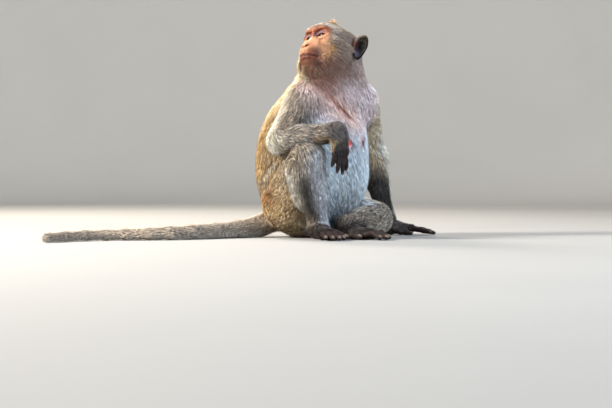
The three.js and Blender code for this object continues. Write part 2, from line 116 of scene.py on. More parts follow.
def between(x, a, b, c, d):
    """0 below a and above d, 1 from b to c."""
    return step_up(a, b, x) * step_up(d, c, x)


def bump_at(x, middle, width):
    return np.exp(-(((x - middle) / width) ** 2))


def row_dots(p, direction):
    """How far each row of p reaches along its own row of direction."""
    return np.einsum("ij,ij->i", p, direction)


def beside_line(points, start, end):
    """How far along a line each point is, 0 at the start and 1 at the end, and its offset from the line."""
    start = np.asarray(start, float)
    along = np.asarray(end, float) - start
    share = ((points - start) @ along) / (along @ along)
    return share, points - start - np.clip(share, 0, 1)[:, None] * along


def turn(yaw, pitch=0.0, roll=0.0):
    """Forward, left and up of something that faces yaw and pitch."""
    a, b, c = np.radians([yaw, pitch, roll])
    forward = np.array([np.sin(a) * np.cos(b), -np.cos(a) * np.cos(b), np.sin(b)])
    level = np.array([np.cos(a), np.sin(a), 0.0])
    left = level * np.cos(c) + np.cross(forward, level) * np.sin(c)
    return np.array([forward, left, np.cross(forward, left)], F32)


# ---------------------------------------------------------------- flesh as distance fields
class Part:
    """One blended form: its distance function, its join's width, and the depth of the coat over it."""

    def __init__(self, distance, centre, reach, blend, coat=0.0, cut=False, lie=None):
        self.distance, self.centre, self.reach = distance, np.asarray(centre, F32), float(reach)
        self.blend, self.coat, self.cut, self.lie = float(blend), float(coat), cut, lie


def bone(a, b, radius_a, radius_b, blend=8, coat=0, flat=None, cut=False):
    """A tapering round bar; flat is a direction and how far the bar is thinned along it."""
    a, b = np.asarray(a, F32), np.asarray(b, F32)
    along = b - a
    squared = float(along @ along) + 1e-6

    def distance(p):
        q = p - a
        t = np.clip((q @ along) / squared, 0, 1)
        q = q - t[:, None] * along
        if flat is None:
            return lengths(q) - (radius_a + (radius_b - radius_a) * t)
        normal, share = unit(flat[0]).astype(F32), flat[1]
        q = q + ((q @ normal) * (1 / share - 1))[:, None] * normal
        return (lengths(q) - (radius_a + (radius_b - radius_a) * t)) * (0.5 + 0.5 * share)

    lie = None if cut else unit(along)
    return Part(distance, (a + b) / 2, np.sqrt(squared) / 2 + max(radius_a, radius_b), blend, coat, cut, lie)


def egg(centre, radii, blend=8, axes=None, coat=0, cut=False):
    centre, radii = np.asarray(centre, F32), np.asarray(radii, F32)
    axes = None if axes is None else np.asarray(axes, F32)

    def distance(p):
        q = p - centre
        if axes is not None:
            q = q @ axes.T
        u = q / radii
        reach = lengths(u)
        return reach * (reach - 1) / np.maximum(lengths(u / radii), 1e-6)

    return Part(distance, centre, float(radii.max()), blend, coat, cut)


def soft_min(a, b, width):
    overlap = np.maximum(width - np.abs(a - b), 0) / width
    return np.minimum(a, b) - overlap * overlap * (width * 0.25)


class Group:
    """Parts blended in order, joined to the body by a blend of near at the root and far beyond reach."""

    def __init__(self, name, parts, near=1.0, far=1.0, root=(0, 0, 0), reach=1.0, sag=0.0):
        self.name, self.parts, self.near, self.far, self.sag = name, parts, near, far, sag
        self.root, self.reach = np.asarray(root, F32), reach
        solid = [s for s in parts if not s.cut]
        self.centre = np.mean([s.centre for s in solid], axis=0)
        self.radius = max(np.linalg.norm(s.centre - self.centre) + s.reach + s.coat for s in solid)

    def blend(self, p):
        t = np.clip(1.5 - 1.5 * lengths(p - self.root) / self.reach, 0, 1)
        return self.far + (self.near - self.far) * t * t * (3 - 2 * t)

    def at(self, p, shell):
        d = np.full(len(p), FAR, F32)
        for s in self.parts:
            v = s.distance(p) - s.coat * shell
            d = -soft_min(-d, v, s.blend) if s.cut else soft_min(d, v, s.blend)
        return d

    def lie(self, p):
        """The way the hair lies: along the nearest bones, sagging a little."""
        total = np.zeros((len(p), 3), F32)
        for s in self.parts:
            if s.lie is not None:
                weight = np.exp(-np.clip(s.distance(p), -3, 60) / 3)
                total += weight[:, None] * s.lie.astype(F32)
        total = unit_rows(total)
        total[:, 2] -= self.sag
        return unit_rows(total)


class Field:
    """The whole body. shell 0 is the skin and 1 the tips of the coat."""

    NEAR = 40  # beyond this a group doesn't count
    FLOOR_BLEND = 1.5

    def __init__(self, groups, shell=0.0):
        self.groups, self.shell = groups, shell

    def at(self, p):
        total = np.full(len(p), FAR, F32)
        for g in self.groups:
            near = lengths(p - g.centre) < g.radius + self.NEAR
            if near.any():
                q = p[near]
                total[near] = soft_min(total[near], g.at(q, self.shell), g.blend(q))
        return -soft_min(-total, p[:, 2], self.FLOOR_BLEND)

    def blocks(self, p, centres, radius):
        """Distances at p, an array of blocks of points, skipping the parts too far from each block."""
        count, size, _ = p.shape
        total = np.full((count, size), FAR, F32)
        for g in self.groups:
            d = np.full((count, size), FAR, F32)
            used = np.zeros(count, bool)
            for s in g.parts:
                coat = s.coat * self.shell
                near = lengths(centres - s.centre) - s.reach - coat < radius + s.blend + 4
                if s.cut:
                    near &= used
                if near.any():
                    v = s.distance(p[near].reshape(-1, 3)).reshape(-1, size) - coat
                    d[near] = -soft_min(-d[near], v, s.blend) if s.cut else soft_min(d[near], v, s.blend)
                    used |= near
            if used.any():
                width = g.blend(p[used].reshape(-1, 3)).reshape(-1, size)
                total[used] = soft_min(total[used], d[used], width)
        return -soft_min(-total, p[..., 2], self.FLOOR_BLEND)

    def slope(self, p, h=0.5):
        """Distance and outward direction at each point."""
        base = self.at(p)
        ahead = [self.at(p + h * axis) for axis in np.eye(3, dtype=F32)]
        return base, unit_rows(np.stack([a - base for a in ahead], 1))


class Place:
    """A local frame: forward, left and up round an origin, with a size."""

    def __init__(self, origin, rows, size=1.0):
        self.origin, self.rows, self.size = np.asarray(origin, F32), np.asarray(rows, F32), size

    def at(self, point):
        return self.origin + self.size * (np.asarray(point, F32) @ self.rows)

    def direction(self, *d):
        return unit(np.asarray(d, F32) @ self.rows)

    def local(self, p):
        return ((p - self.origin) @ self.rows.T) / self.size

    def bone(self, a, b, radius_a, radius_b, blend=8, coat=0, flat=None, cut=False):
        s = self.size
        if flat is not None:
            flat = (self.direction(0, 0, 1), flat)
        return bone(self.at(a), self.at(b), radius_a * s, radius_b * s, blend * s, coat, flat, cut)

    def egg(self, centre, radii, blend=8, coat=0, cut=False):
        return egg(self.at(centre), np.array(radii) * self.size, blend * self.size, self.rows, coat, cut)


def framed(origin, along, out, size):
    x = unit(along)
    z = unit(np.asarray(out, float) - (np.asarray(out, float) @ x) * x)
    return Place(origin, [x, np.cross(z, x), z], size)


HEAD = Place(HEAD_ORIGIN, turn(*HEAD_TURN), HEAD_SIZE)
HANDS = {
    "right": framed((43, -132, 162), (0.06, 0.07, -1), (0.38, -0.92, 0.08), 0.75),
    "left": framed((132, 93, 12), (1, -0.18, -0.04), (0.04, 0.05, 1), 0.92),
}
FEET = {}
for side, joint in JOINT.items():
    ahead = (joint["toe"][0] - joint["ankle"][0], joint["toe"][1] - joint["ankle"][1], 0)
    FEET[side] = framed((joint["ankle"][0], joint["ankle"][1], 12), ahead, (0, 0, 1), 0.95)
SIGN = {"right": 1, "left": -1}  # where the thumb and the big toe lie along the local left


# ---------------------------------------------------------------- the parts of the body
def trunk():
    def section(x, y, z, lateral, sagittal, tall, yaw):
        return egg((x, y, z), (sagittal, lateral, tall), 30, turn(yaw), 8)

    parts = [
        section(-2, 8, 47, 60, 56, 46, 52),
        section(4, 4, 88, 78, 84, 56, 48),
        section(6, 2, 130, 74, 84, 56, 42),
        section(12, 2, 170, 64, 74, 50, 38),
        section(9, 17, 202, 50, 50, 40, 38),
        egg((-34, 14, 140), (38, 36, 62), 30, turn(40), 8),
        bone((3, -24, 212), (67, 24, 215), 37, 36, 24, 8),
        bone((33, 2, 218), (41, 6, 262), 40, 35, 26, 8),
    ]
    for nipple in NIPPLES:
        root, tip = nipple
        parts += [bone(root, tip, 4.2, 2.4, 5, 0)]
    return parts


def nipple_line(yaw, height, reach):
    """From inside the chest to the tip of a nipple."""
    out = turn(yaw)[0]
    middle = np.array([*TRUNK_AXIS, height])
    return middle + out * (reach - 14), middle + out * reach + (0, 0, -2)


NIPPLES = [nipple_line(39, 154, 84.5), nipple_line(62, 158, 86.8)]


def limb_thigh(side):
    hip, knee = joints(side, "hip", "knee")
    return [bone(hip, knee * 0.92 + hip * 0.08, 43, 22 if side == "right" else 20, 20, 7)]


def limb_shank(side):
    knee, ankle = joints(side, "knee", "ankle")
    back, calf = ((-11, 0, 0), 24) if side == "right" else ((0, 8, -2), 20)
    back = np.array(back, F32)
    top, bottom = knee * 0.76 + ankle * 0.24 + back, knee * 0.42 + ankle * 0.58 + back * 0.9
    return [
        bone(knee, ankle, 19, 12, 10, 6),
        bone(top, bottom, calf, calf - 3.5, 14, 7),
    ] + foot(side)


TOES = [(58, 10, 34, 0.10), (60, 3.6, 38, 0.03), (58, -3.4, 36, -0.04), (53, -10, 31, -0.12)]


def foot(side):
    f, s = FEET[side], SIGN[side]
    parts = [
        f.bone((0, 0, 8), (0, 0, -1), 11, 10, 6, 4),
        f.bone((-16, 0, -3), (10, 0, -1), 10, 11, 8, 3),
        f.bone((6, 0, 1), (52, 0, -4), 11, 9.5, 10, 3, flat=0.75),
        f.bone((40, 9, -4), (56, 9, -5), 7, 6.5, 6, 2),
        f.bone((38, -9, -4), (52, -10, -5), 7, 6.5, 6, 2),
        f.bone((20, 9 * s, -3), (36, 20 * s, -5), 8, 6, 6, 2),
        f.bone((36, 20 * s, -5), (52, 26 * s, -6), 6, 4.6, 4, 0.6),
        f.bone((52, 26 * s, -6), (61, 28 * s, -7.5), 4.8, 4.0, 3, 0.3),
    ]
    tips = [((52, 26 * s, -6), (61, 28 * s, -7.5), 4.0)]
    for start, across, length, splay in TOES:
        across, splay = across * s, splay * s
        at = lambda share, up: (start + length * share, across + length * share * splay, up)
        a, b, c, d = at(0, -4.5), at(0.5, -1.5), at(0.8, -5.5), at(1, -7.8)
        parts += [
            f.bone((start - 16, across * 0.8, -3.5), a, 5.5, 5.2, 5, 2),
            f.bone(a, b, 5.0, 4.5, 3, 0.8),
            f.bone(b, c, 4.5, 4.3, 2.5, 0.4),
            f.bone(c, d, 4.3, 3.7, 2, 0.2),
        ]
        tips.append((c, d, 3.7))
    NAILS.extend((f, tip) for tip in tips)
    return parts


FINGERS = [(42, 11.5, 34), (44, 4, 38), (42, -3.6, 36), (37, -11, 29)]
PHALANGES = (0.46, 0.31, 0.23)
CURL = {
    "right": [(4, 16, 12), (0, 10, 14), (2, 12, 12), (8, 14, 14)],
    "left": [(4, 8, 4)] * 4,
}
SPREAD = {"right": 1.0, "left": 2.5}
NAILS = []  # the local frame and the last bone of each digit


def hand(side, coat=2.5):
    f, s = HANDS[side], SIGN[side]
    parts = [
        f.bone((-8, 0, 0), (14, 0, 0), 10.5, 12, 6, coat + 1, flat=0.72),
        f.bone((10, 5 * s, 0), (40, 8 * s, 0), 9.5, 8, 8, coat, flat=0.72),
        f.bone((10, -4 * s, 0), (36, -8 * s, 0), 9.5, 8, 8, coat, flat=0.72),
        f.bone((8, 7 * s, -3), (22, 16 * s, -6), 7, 5.5, 6, coat * 0.6),
        f.bone((22, 16 * s, -6), (34, 20 * s, -8), 5.2, 4.2, 3, 0.5),
        f.bone((34, 20 * s, -8), (42, 21 * s, -9), 4.3, 3.5, 2, 0.2),
    ]
    NAILS.append((f, ((34, 20 * s, -8), (42, 21 * s, -9), 3.5)))
    for (start, across, length), curl in zip(FINGERS, CURL[side]):
        across = across * s
        splay = across * 0.012 * SPREAD[side]
        points = [np.array([start, across, 0.0])]
        for share, bend in zip(PHALANGES, np.cumsum(np.radians(curl))):
            ahead, down = np.cos(bend), -np.sin(bend)
            points.append(points[-1] + length * share * np.array([ahead, ahead * splay, down]))
        parts.append(f.bone((start - 14, across * 0.85, 0), points[0], 5.4, 5.2, 4, coat * 0.7))
        radii = (5.0, 4.4, 4.0, 3.3)
        for j, thin in enumerate((0.9, 0.5, 0.2)):
            parts.append(f.bone(points[j], points[j + 1], radii[j], radii[j + 1], 2.5, thin))
        NAILS.append((f, (points[2], points[3], radii[3])))
    return parts


def arm(side):
    shoulder, elbow, wrist = joints(side, "shoulder", "elbow", "wrist")
    into_hand = HANDS[side].at((4, 0, 0) if side == "right" else (-2, 0, 2))
    return [
        bone(shoulder, elbow, 25, 17, 16, 7),
        bone(elbow, wrist, 15, 10.5, 8, 6),
        bone(elbow * 0.85 + wrist * 0.15, elbow * 0.55 + wrist * 0.45, 16.5, 14, 10, 6),
        bone(wrist, into_hand, 10.5, 10, 6, 5),
    ] + hand(side)


def tail():
    last = len(TAIL_ROUTE) - 1
    radius = lambda i: 4.5 + 9.5 * (1 - i / last) ** 2
    coat = lambda i: 4.5 + 2.0 * (1 - i / last)
    pairs = zip(TAIL_ROUTE, TAIL_ROUTE[1:])
    return [bone(a, b, radius(i), radius(i + 1), 6, coat(i)) for i, (a, b) in enumerate(pairs)]


# ---------------------------------------------------------------- the head
EAR_ROOT = (-4, 33, 6.5)
EAR_REACH, EAR_HEIGHT = 11.3, 18.4  # half the width and half the height of the ear's plate


def ear_frame(s):
    """Out, up and the way the ear's bowl faces."""
    out = HEAD.direction(-0.42, 0.90 * s, 0.06)
    up = HEAD.direction(-0.10, 0.10 * s, 1)
    up = unit(up - (up @ out) * out)
    facing = np.cross(out, up)
    facing = facing if facing @ HEAD.direction(1, 0, 0) > 0 else -facing
    return Place(HEAD.at((EAR_ROOT[0], EAR_ROOT[1] * s, EAR_ROOT[2])), [out, up, facing], HEAD_SIZE)


def ear_rings(q):
    """How far out in the ear's plate a point is, 1 at the rim, its slant, and its height over the plate."""
    u, v, w = q[:, 0], q[:, 1], q[:, 2]
    width = np.where(v < 0, EAR_REACH + 0.28 * v, EAR_REACH)
    a, b = (u - 14 - 0.18 * v) / np.maximum(width, 5), v / EAR_HEIGHT
    ring = (np.abs(a) ** 2.5 + np.abs(b) ** 2.5) ** 0.4
    slant = np.sqrt((a * a + b * b) / np.maximum(a * a + b * b * 0.55, 1e-6))
    return ring, slant, w - (5.0 * np.clip(ring, 0, 1.2) ** 2 - 4.0)


def ear(s, rim=2.2, half_thick=1.1):
    """A thin dish with a rolled rim, a fold inside it and a tragus."""
    place = ear_frame(s)

    def distance(p):
        q = place.local(p)
        ring, slant, above = ear_rings(q)
        out = (ring - 1) * 15.0 * slant
        plate = np.maximum(np.abs(above) - half_thick, out)
        edge = np.sqrt(out * out + (above - 0.8) ** 2) - rim
        d = soft_min(plate, edge, 1.6)
        fades = 3.0 * np.clip(-q[:, 1] / 20 - 0.1, 0, 1) + 4 * np.clip((8 - q[:, 0]) / 10, 0, 1)
        fold = np.sqrt((np.abs(ring - 0.62) * 14) ** 2 + (above - 0.8) ** 2) - 1.3 + fades
        return soft_min(d, fold, 1.6) * 0.9

    return Part(distance, place.at((13, 0, 0)), 28, 3.5, 0.3)


LID_TILT = -2  # degrees that the lids' opening looks down in the head


def lid(s, thick=2.0, opening=10.5):
    """The lids: a shell round the eyeball, open along an almond."""
    centre = HEAD.at((EYE[0], EYE[1] * s, EYE[2]))
    forward = HEAD.direction(0.97, 0.20 * s, -0.06)
    left = HEAD.direction(-0.20 * s, 0.97, 0)
    left = unit(left - (left @ forward) * forward)
    place = Place(centre, [forward, left, np.cross(forward, left)])
    outer = EYE_RADIUS * HEAD_SIZE + thick

    def distance(p):
        q = place.local(p)
        r = lengths(q)
        across = np.degrees(np.arctan2(q[:, 1] * s, q[:, 0]))
        rise = np.degrees(np.arcsin(np.clip(q[:, 2] / np.maximum(r, 1e-3), -1, 1)))
        t = (across + 7) / 50.0
        gap = np.abs(rise - (LID_TILT + 5 * t)) - opening * (1 - t * t)
        hole = np.where((np.abs(t) < 1) & (q[:, 0] > 0), -gap * outer * math.pi / 180, -5)
        return r - outer, hole

    def shell(p):
        return np.maximum(*distance(p))

    def slit(p):
        from_shell, hole = distance(p)
        return np.maximum(from_shell - 3, -hole)

    return [Part(shell, centre, outer + 1, 1.8), Part(slit, centre, outer + 4, 0.8, cut=True)]


def brow_and_cheek(s):
    h = HEAD
    return [
        h.bone((43.5, 0, 29.5), (42.5, 14 * s, 29.8), 5.2, 5.0, 6, 2.5),
        h.bone((42.5, 14 * s, 29.8), (37.5, 24 * s, 23.5), 5.0, 4.0, 6, 2.5),
        h.bone((37.5, 24 * s, 23.5), (37, 24 * s, 9), 4.0, 4.8, 6, 2.0),
        h.bone((46, 8 * s, 8), (39.5, 19 * s, 8), 4.0, 5.5, 7, 0.4),
        h.egg((EYE[0] - 2, EYE[1] * s, EYE[2]), (9.0, 11.5, 10.5), 5, 0.2),
        h.egg((35, 23 * s, 5), (13, 9, 9), 8, 0.8),
        h.bone((32, 27 * s, 6), (6, 33 * s, 0), 6.5, 6, 8, 4),
        h.bone((10, 25 * s, -14), (50, 9 * s, -26), 12, 8.5, 10, 3),
        h.egg((22, 22 * s, -12), (20, 12, 18), 12, 7),
    ]


def lips(s):
    h = HEAD
    upper = [(66.2, 0, -16.0), (63.8, 7.3 * s, -16.6), (58.0, 12.2 * s, -18.0), (51.5, 14.4 * s, -20.0)]
    lower = [(65.2, 0, -21.6), (62.8, 7.0 * s, -21.9), (57.0, 11.8 * s, -22.6), (51.5, 14.0 * s, -22.8)]
    mouth = [(69.2, 0, -18.8), (66.6, 8.4 * s, -19.2), (60.0, 14.4 * s, -20.3), (53.0, 17.6 * s, -21.4)]
    flesh = [h.bone(a, b, 2.2, 2.0, 3.5, 0.1) for line in (upper, lower) for a, b in zip(line, line[1:])]
    slit = [h.bone(a, b, 1.2, 1.1, 1.2, cut=True) for a, b in zip(mouth, mouth[1:])]
    return flesh, slit


def head():
    h = HEAD
    parts = [
        h.egg((4, 0, 14), (43, 31.5, 28), 6, 7.5),
        h.egg((24, 0, 16.5), (22, 27, 27), 12, 3),
        h.egg((34, 0, 27), (13.5, 20, 12.5), 7, 3.5),
    ]
    for s in (1, -1):
        parts += brow_and_cheek(s)
    parts += [
        h.bone((36, 0, -6), (50, 0, -9), 19.5, 16, 9, 0.4, flat=0.92),
        h.egg((53.7, 0, -11), (13.0, 15.0, 11), 6, 0.4),
        h.bone((44, 0, 23), (49.5, 0, 9), 3.6, 4.4, 6, 0.3),
        h.bone((49.5, 0, 9), (61, 0, -1.5), 4.4, 4.4, 6, 0.2),
        h.egg((55.0, 0, -26.6), (9.0, 11.5, 7.4), 6, 2.5),
        h.bone((30, 0, -24), (0, 0, -34), 19, 24, 14, 6),
        h.bone((44, 0, -34), (24, 0, -58), 13, 20, 14, 7),
        h.bone((-14, 0, 4), (-22, 0, -34), 24, 26, 14, 6.5),
    ]
    slits = []
    for s in (1, -1):
        parts.append(h.bone((59.0, 5.0 * s, -2.8), (62.0, 4.2 * s, -4.6), 3.4, 3.0, 3, 0.1))
        flesh, slit = lips(s)
        parts += flesh
        slits += slit
    parts += slits
    for s in (1, -1):
        parts.append(h.bone((66.0, 2.4 * s, -5.0), (62.8, 6.2 * s, -2.4), 1.9, 1.4, 1.2, cut=True))
        parts.append(h.egg((EYE[0] + 13.5, EYE[1] * s, EYE[2] + 4), (6.5, 9.5, 4.8), 3, cut=True))
    for s in (1, -1):
        parts += lid(s)
    for s in (1, -1):
        parts.append(h.egg((EYE[0], EYE[1] * s, EYE[2]), (EYE_RADIUS + 0.25,) * 3, 0.4, cut=True))
        parts.append(ear(s))
    return parts


def whole_body():
    groups = [Group("trunk", trunk())]
    for side in JOINT:
        groups.append(Group("thigh_" + side, limb_thigh(side), 18, 3.0, JOINT[side]["hip"], 62, 0.25))
    for side in JOINT:
        groups.append(Group("shank_" + side, limb_shank(side), 16, 1.5, JOINT[side]["knee"], 42, 0.1))
    groups.append(Group("arm_right", arm("right"), 16, 2.0, JOINT["right"]["shoulder"], 70, 0.2))
    groups.append(Group("arm_left", arm("left"), 16, 2.0, JOINT["left"]["shoulder"], 75, 0.1))
    groups.append(Group("tail", tail(), 14, 2.0, TAIL_ROUTE[0], 60, 0.1))
    groups.append(Group("head", head(), 14, 14))
    return groups


GROUPS = whole_body()
NAMES = [g.name for g in GROUPS]
SKIN, OUTLINE = Field(GROUPS, 0.0), Field(GROUPS, 1.0)


# ---------------------------------------------------------------- the skin's surface
def surface(field, low, high, step, block=8):
    """Vertices and quads of the field's zero level, on a grid made only where the surface passes."""
    low = np.asarray(low, F32)
    counts = np.ceil((np.asarray(high, F32) - low) / (step * block)).astype(int)
    ids = np.stack(np.meshgrid(*[np.arange(k) for k in counts], indexing="ij"), -1).reshape(-1, 3)
    centres = (low + (ids * block + (block - 1) / 2) * step).astype(F32)
    radius = step * block / 2 * 1.74
    rough = field.blocks(centres[:, None, :], centres, radius * 2)[:, 0]
    grid = np.where(rough < 0, F32(-9), F32(9)).reshape(counts)
    for axis in range(3):
        grid = np.repeat(grid, block, axis)
    active = np.flatnonzero(np.abs(rough) < radius * 1.7 + 3)
    offsets = np.stack(np.meshgrid(*[np.arange(block)] * 3, indexing="ij"), -1).reshape(-1, 3)
    view = grid.reshape(counts[0], block, counts[1], block, counts[2], block)
    for chunk in np.array_split(active, max(1, len(active) // 2000)):
        b = ids[chunk]
        p = (low + (b[:, None, :] * block + offsets[None]) * step).astype(F32)
        values = field.blocks(p, centres[chunk], radius)
        view[b[:, 0], :, b[:, 1], :, b[:, 2], :] = values.reshape(-1, block, block, block)
    return nets(grid, low, step)


CORNERS = np.array([(i, j, k) for i in (0, 1) for j in (0, 1) for k in (0, 1)])
CELL_EDGES = [(a, b) for a in range(8) for b in range(a + 1, 8) if np.abs(CORNERS[a] - CORNERS[b]).sum() == 1]


def nets(grid, low, step):
    """One vertex in each cell that the surface crosses, and one quad round each grid edge that it crosses."""
    inside = grid < 0
    size = [n - 1 for n in grid.shape]
    corners = [inside[i:size[0] + i, j:size[1] + j, k:size[2] + k] for i, j, k in CORNERS]
    crossed = np.logical_or.reduce(corners) & ~np.logical_and.reduce(corners)
    cells = np.argwhere(crossed)
    ids = np.full(crossed.shape, -1, np.int32)
    ids[crossed] = np.arange(len(cells))
    values = np.stack([grid[tuple((cells + c).T)] for c in CORNERS], 1)
    total, count = np.zeros((len(cells), 3), F32), np.zeros(len(cells), F32)
    for a, b in CELL_EDGES:
        va, vb = values[:, a], values[:, b]
        hit = (va < 0) != (vb < 0)
        share = np.where(hit, va / np.where(va == vb, 1, va - vb), 0)
        total += np.where(hit[:, None], CORNERS[a] + share[:, None] * (CORNERS[b] - CORNERS[a]), 0)
        count += hit
    vertices = low + (cells + total / count[:, None]) * step
    quads = []
    for axis in range(3):
        n = grid.shape
        ahead = [int(i == axis) for i in range(3)]
        start = inside[:n[0] - ahead[0], :n[1] - ahead[1], :n[2] - ahead[2]]
        edges = np.argwhere(start != inside[ahead[0]:, ahead[1]:, ahead[2]:])
        u, w = [i for i in range(3) if i != axis]
        edges = edges[(edges[:, [u, w]] > 0).all(1) & (edges[:, u] < n[u] - 1) & (edges[:, w] < n[w] - 1)]
        around = []
        for du, dw in ((1, 1), (0, 1), (0, 0), (1, 0)):
            cell = edges.copy()
            cell[:, u] -= du
            cell[:, w] -= dw
            around.append(ids[tuple(cell.T)])
        quad = np.stack(around, 1)
        out = start[tuple(edges.T)]
        flip = out if axis == 1 else ~out
        quad[flip] = quad[flip][:, ::-1]
        quads.append(quad)
    return vertices.astype(F32), np.concatenate(quads)


def rim_loop(quads):
    """The open edge of a sheet of quads, as one ordered loop of vertices."""
    starts, ends = quads.ravel(), np.roll(quads, -1, axis=1).ravel()
    many = int(max(starts.max(), ends.max())) + 1
    there, back = starts.astype(np.int64) * many + ends, ends.astype(np.int64) * many + starts
    lone = ~np.isin(there, back)
    after = dict(zip(starts[lone].tolist(), ends[lone].tolist()))
    best = []
    while after:
        first, now = after.popitem()
        loop = [first]
        while now in after:
            loop.append(now)
            now = after.pop(now)
        best = max(best, loop, key=len)
    return best


def stitched(vertices, lower, upper):
    """Triangles between two loops that run opposite ways round, each next one across the shorter gap."""
    upper = upper[::-1]
    gaps = lengths(vertices[upper] - vertices[lower[0]])
    upper = np.roll(upper, -int(gaps.argmin())).tolist()
    lower, triangles, i, j = list(lower), [], 0, 0
    m, n = len(lower), len(upper)
    while i < m or j < n:
        a, b = lower[i % m], upper[j % n]
        next_a, next_b = lower[(i + 1) % m], upper[(j + 1) % n]
        across_a = np.linalg.norm(vertices[next_a] - vertices[b])
        across_b = np.linalg.norm(vertices[next_b] - vertices[a])
        if j >= n or (i < m and across_a < across_b):
            triangles.append((a, b, next_a))
            i += 1
        else:
            triangles.append((a, b, next_b))
            j += 1
    return np.array(triangles, np.int32)


def cross_of_edges(vertices, faces, first, second):
    """The cross product of two spans of each face, each a pair of corner numbers."""
    spans = [vertices[faces[:, b]] - vertices[faces[:, a]] for a, b in (first, second)]
    return np.cross(*spans)


def corner_normals(vertices, faces):
    normals = np.zeros_like(vertices)
    for block in faces:
        across = cross_of_edges(vertices, block, (0, 2), (1, block.shape[1] - 1))
        for k in range(block.shape[1]):
            for axis in range(3):
                normals[:, axis] += np.bincount(block[:, k], across[:, axis], len(vertices))
    return unit_rows(normals)


def skin_surface():
    """The skin on a coarse grid up to the neck and a fine one over the head, stitched together there."""
    low, high = np.array(cad_low) / MM - 6, np.array(cad_high) / MM + 6
    vertices, quads = surface(SKIN, low, (high[0], high[1], NECK_CUT + 6), BODY_STEP)
    quads = quads[(vertices[quads][:, :, 2] < NECK_CUT).all(1)]
    head_low = (HEAD_ORIGIN[0] - 75, HEAD_ORIGIN[1] - 85, NECK_CUT - 6)
    more, finer = surface(SKIN, head_low, (HEAD_ORIGIN[0] + 75, HEAD_ORIGIN[1] + 70, high[2]), HEAD_STEP)
    finer = finer[(more[finer][:, :, 2] > NECK_CUT + HEAD_STEP).all(1)] + len(vertices)
    vertices = np.concatenate([vertices, more])
    strip = stitched(vertices, rim_loop(quads), rim_loop(finer))
    quads = np.concatenate([quads, finer])
    across = cross_of_edges(vertices, strip, (0, 1), (0, 2))
    outward = vertices[strip[:, 0]] - vertices[strip].mean((0, 1))
    if (across * outward).sum() < 0:
        strip = strip[:, ::-1]
    used = np.unique(np.concatenate([quads.ravel(), strip.ravel()]))
    place = np.full(len(vertices), -1, np.int32)
    place[used] = np.arange(len(used))
    vertices, faces = vertices[used], [place[quads], place[strip]]
    for _ in range(2):
        distance, out = SKIN.slope(vertices)
        vertices = vertices - out * np.clip(distance, -0.5, 0.5)[:, None]
    return vertices, faces


def make_mesh(name, vertices, faces):
    """A smooth mesh object from blocks of faces with the same number of corners."""
    mesh = bpy.data.meshes.new(name)
    mesh.vertices.add(len(vertices))
    mesh.vertices.foreach_set("co", (np.asarray(vertices, F32) * MM).ravel())
    corners = np.concatenate([f.ravel() for f in faces]).astype(np.int32)
    sizes = np.concatenate([np.full(len(f), f.shape[1], np.int32) for f in faces])
    mesh.loops.add(len(corners))
    mesh.loops.foreach_set("vertex_index", corners)
    mesh.polygons.add(len(sizes))
    mesh.polygons.foreach_set("loop_start", np.concatenate([[0], np.cumsum(sizes)[:-1]]).astype(np.int32))
    mesh.polygons.foreach_set("use_smooth", np.ones(len(sizes), bool))
    mesh.update(calc_edges=True)
    piece = bpy.data.objects.new(name, mesh)
    bpy.context.scene.collection.objects.link(piece)
    return piece


def add_colour(piece, name, colours):
    layer = piece.data.color_attributes.new(name=name, type="FLOAT_COLOR", domain="POINT")
    rgba = np.concatenate([colours, np.ones((len(colours), 1))], 1).astype(F32)
    layer.data.foreach_set("color", rgba.ravel())


def add_value(piece, name, values):
    layer = piece.data.attributes.new(name=name, type="FLOAT", domain="POINT")
    layer.data.foreach_set("value", np.asarray(values, F32))


# ---------------------------------------------------------------- the markings of skin and coat, with painted light and shade
def hue(red, green, blue):
    """A linear colour from the 0 to 255 values that a screen shows."""
    c = np.array([red, green, blue]) / 255
    return np.where(c < 0.04045, c / 12.92, ((c + 0.055) / 1.055) ** 2.4)


BACK_GOLD = hue(180, 146, 100)
BACK_DARK = hue(128, 102, 74)
FLANK = hue(178, 158, 130)
BACK_PALE = hue(224, 198, 160)
# reddish skin of the chest's crease, darkened as painted shade in it
CREASE_RED_SHADE = hue(150, 74, 56)
WRIST_GOLD = hue(214, 182, 138)
WRIST_DARK = hue(80, 73, 77)
ARM_DARK_SHADED = hue(15, 14, 17)
CHIN_BROWN = hue(66, 36, 26)
CALF_DARK = hue(44, 38, 34)
RUMP_DARK = hue(58, 40, 26)
RUST = hue(176, 112, 54)
ARM_GREY = hue(136, 124, 113)
ARM_PALE = hue(232, 222, 202)
THIGH_GREY = hue(146, 134, 120)
SHIN_PALE_SKYLIT = hue(208, 212, 224)
CALF_PALE = hue(244, 236, 222)
TAIL_GREY = hue(170, 158, 145)
CHEST_MAUVE = hue(216, 197, 199)
CHEST_PINK = hue(250, 204, 192)
# pale belly hair, tinted blue as painted light from the sky
BELLY_WHITE_SKY_TINT = hue(208, 222, 236)
THROAT_SHADE_BROWN = hue(128, 86, 66)
HAND_DARK = hue(34, 26, 25)
HAND_HAIR = hue(72, 64, 60)
CROWN_GREY = hue(130, 110, 95)
CROWN_GOLD = hue(170, 144, 106)
CREST_GOLD = hue(146, 104, 64)
CREST_DARK = hue(84, 62, 44)
BROW_WHITE = hue(196, 178, 162)
WHISKER_GOLD = hue(156, 114, 62)
CREAM_BACKLIT = hue(232, 214, 180)
FACE_TAN = hue(168, 126, 97)
BROW_ORANGE = hue(138, 76, 52)
LID_LILAC = hue(66, 50, 62)
LID_PAINTED_HIGHLIGHT = hue(108, 95, 108)
CORNER_MAUVE = hue(92, 58, 72)
SOCKET_BROWN_SHADE = hue(74, 32, 24)
MUZZLE_BROWN = hue(88, 50, 38)
LIP_PINK = hue(96, 52, 46)
HOLLOW_SHADE = hue(48, 26, 24)
EAR_DARK_AND_SHADE = hue(6, 3, 3)
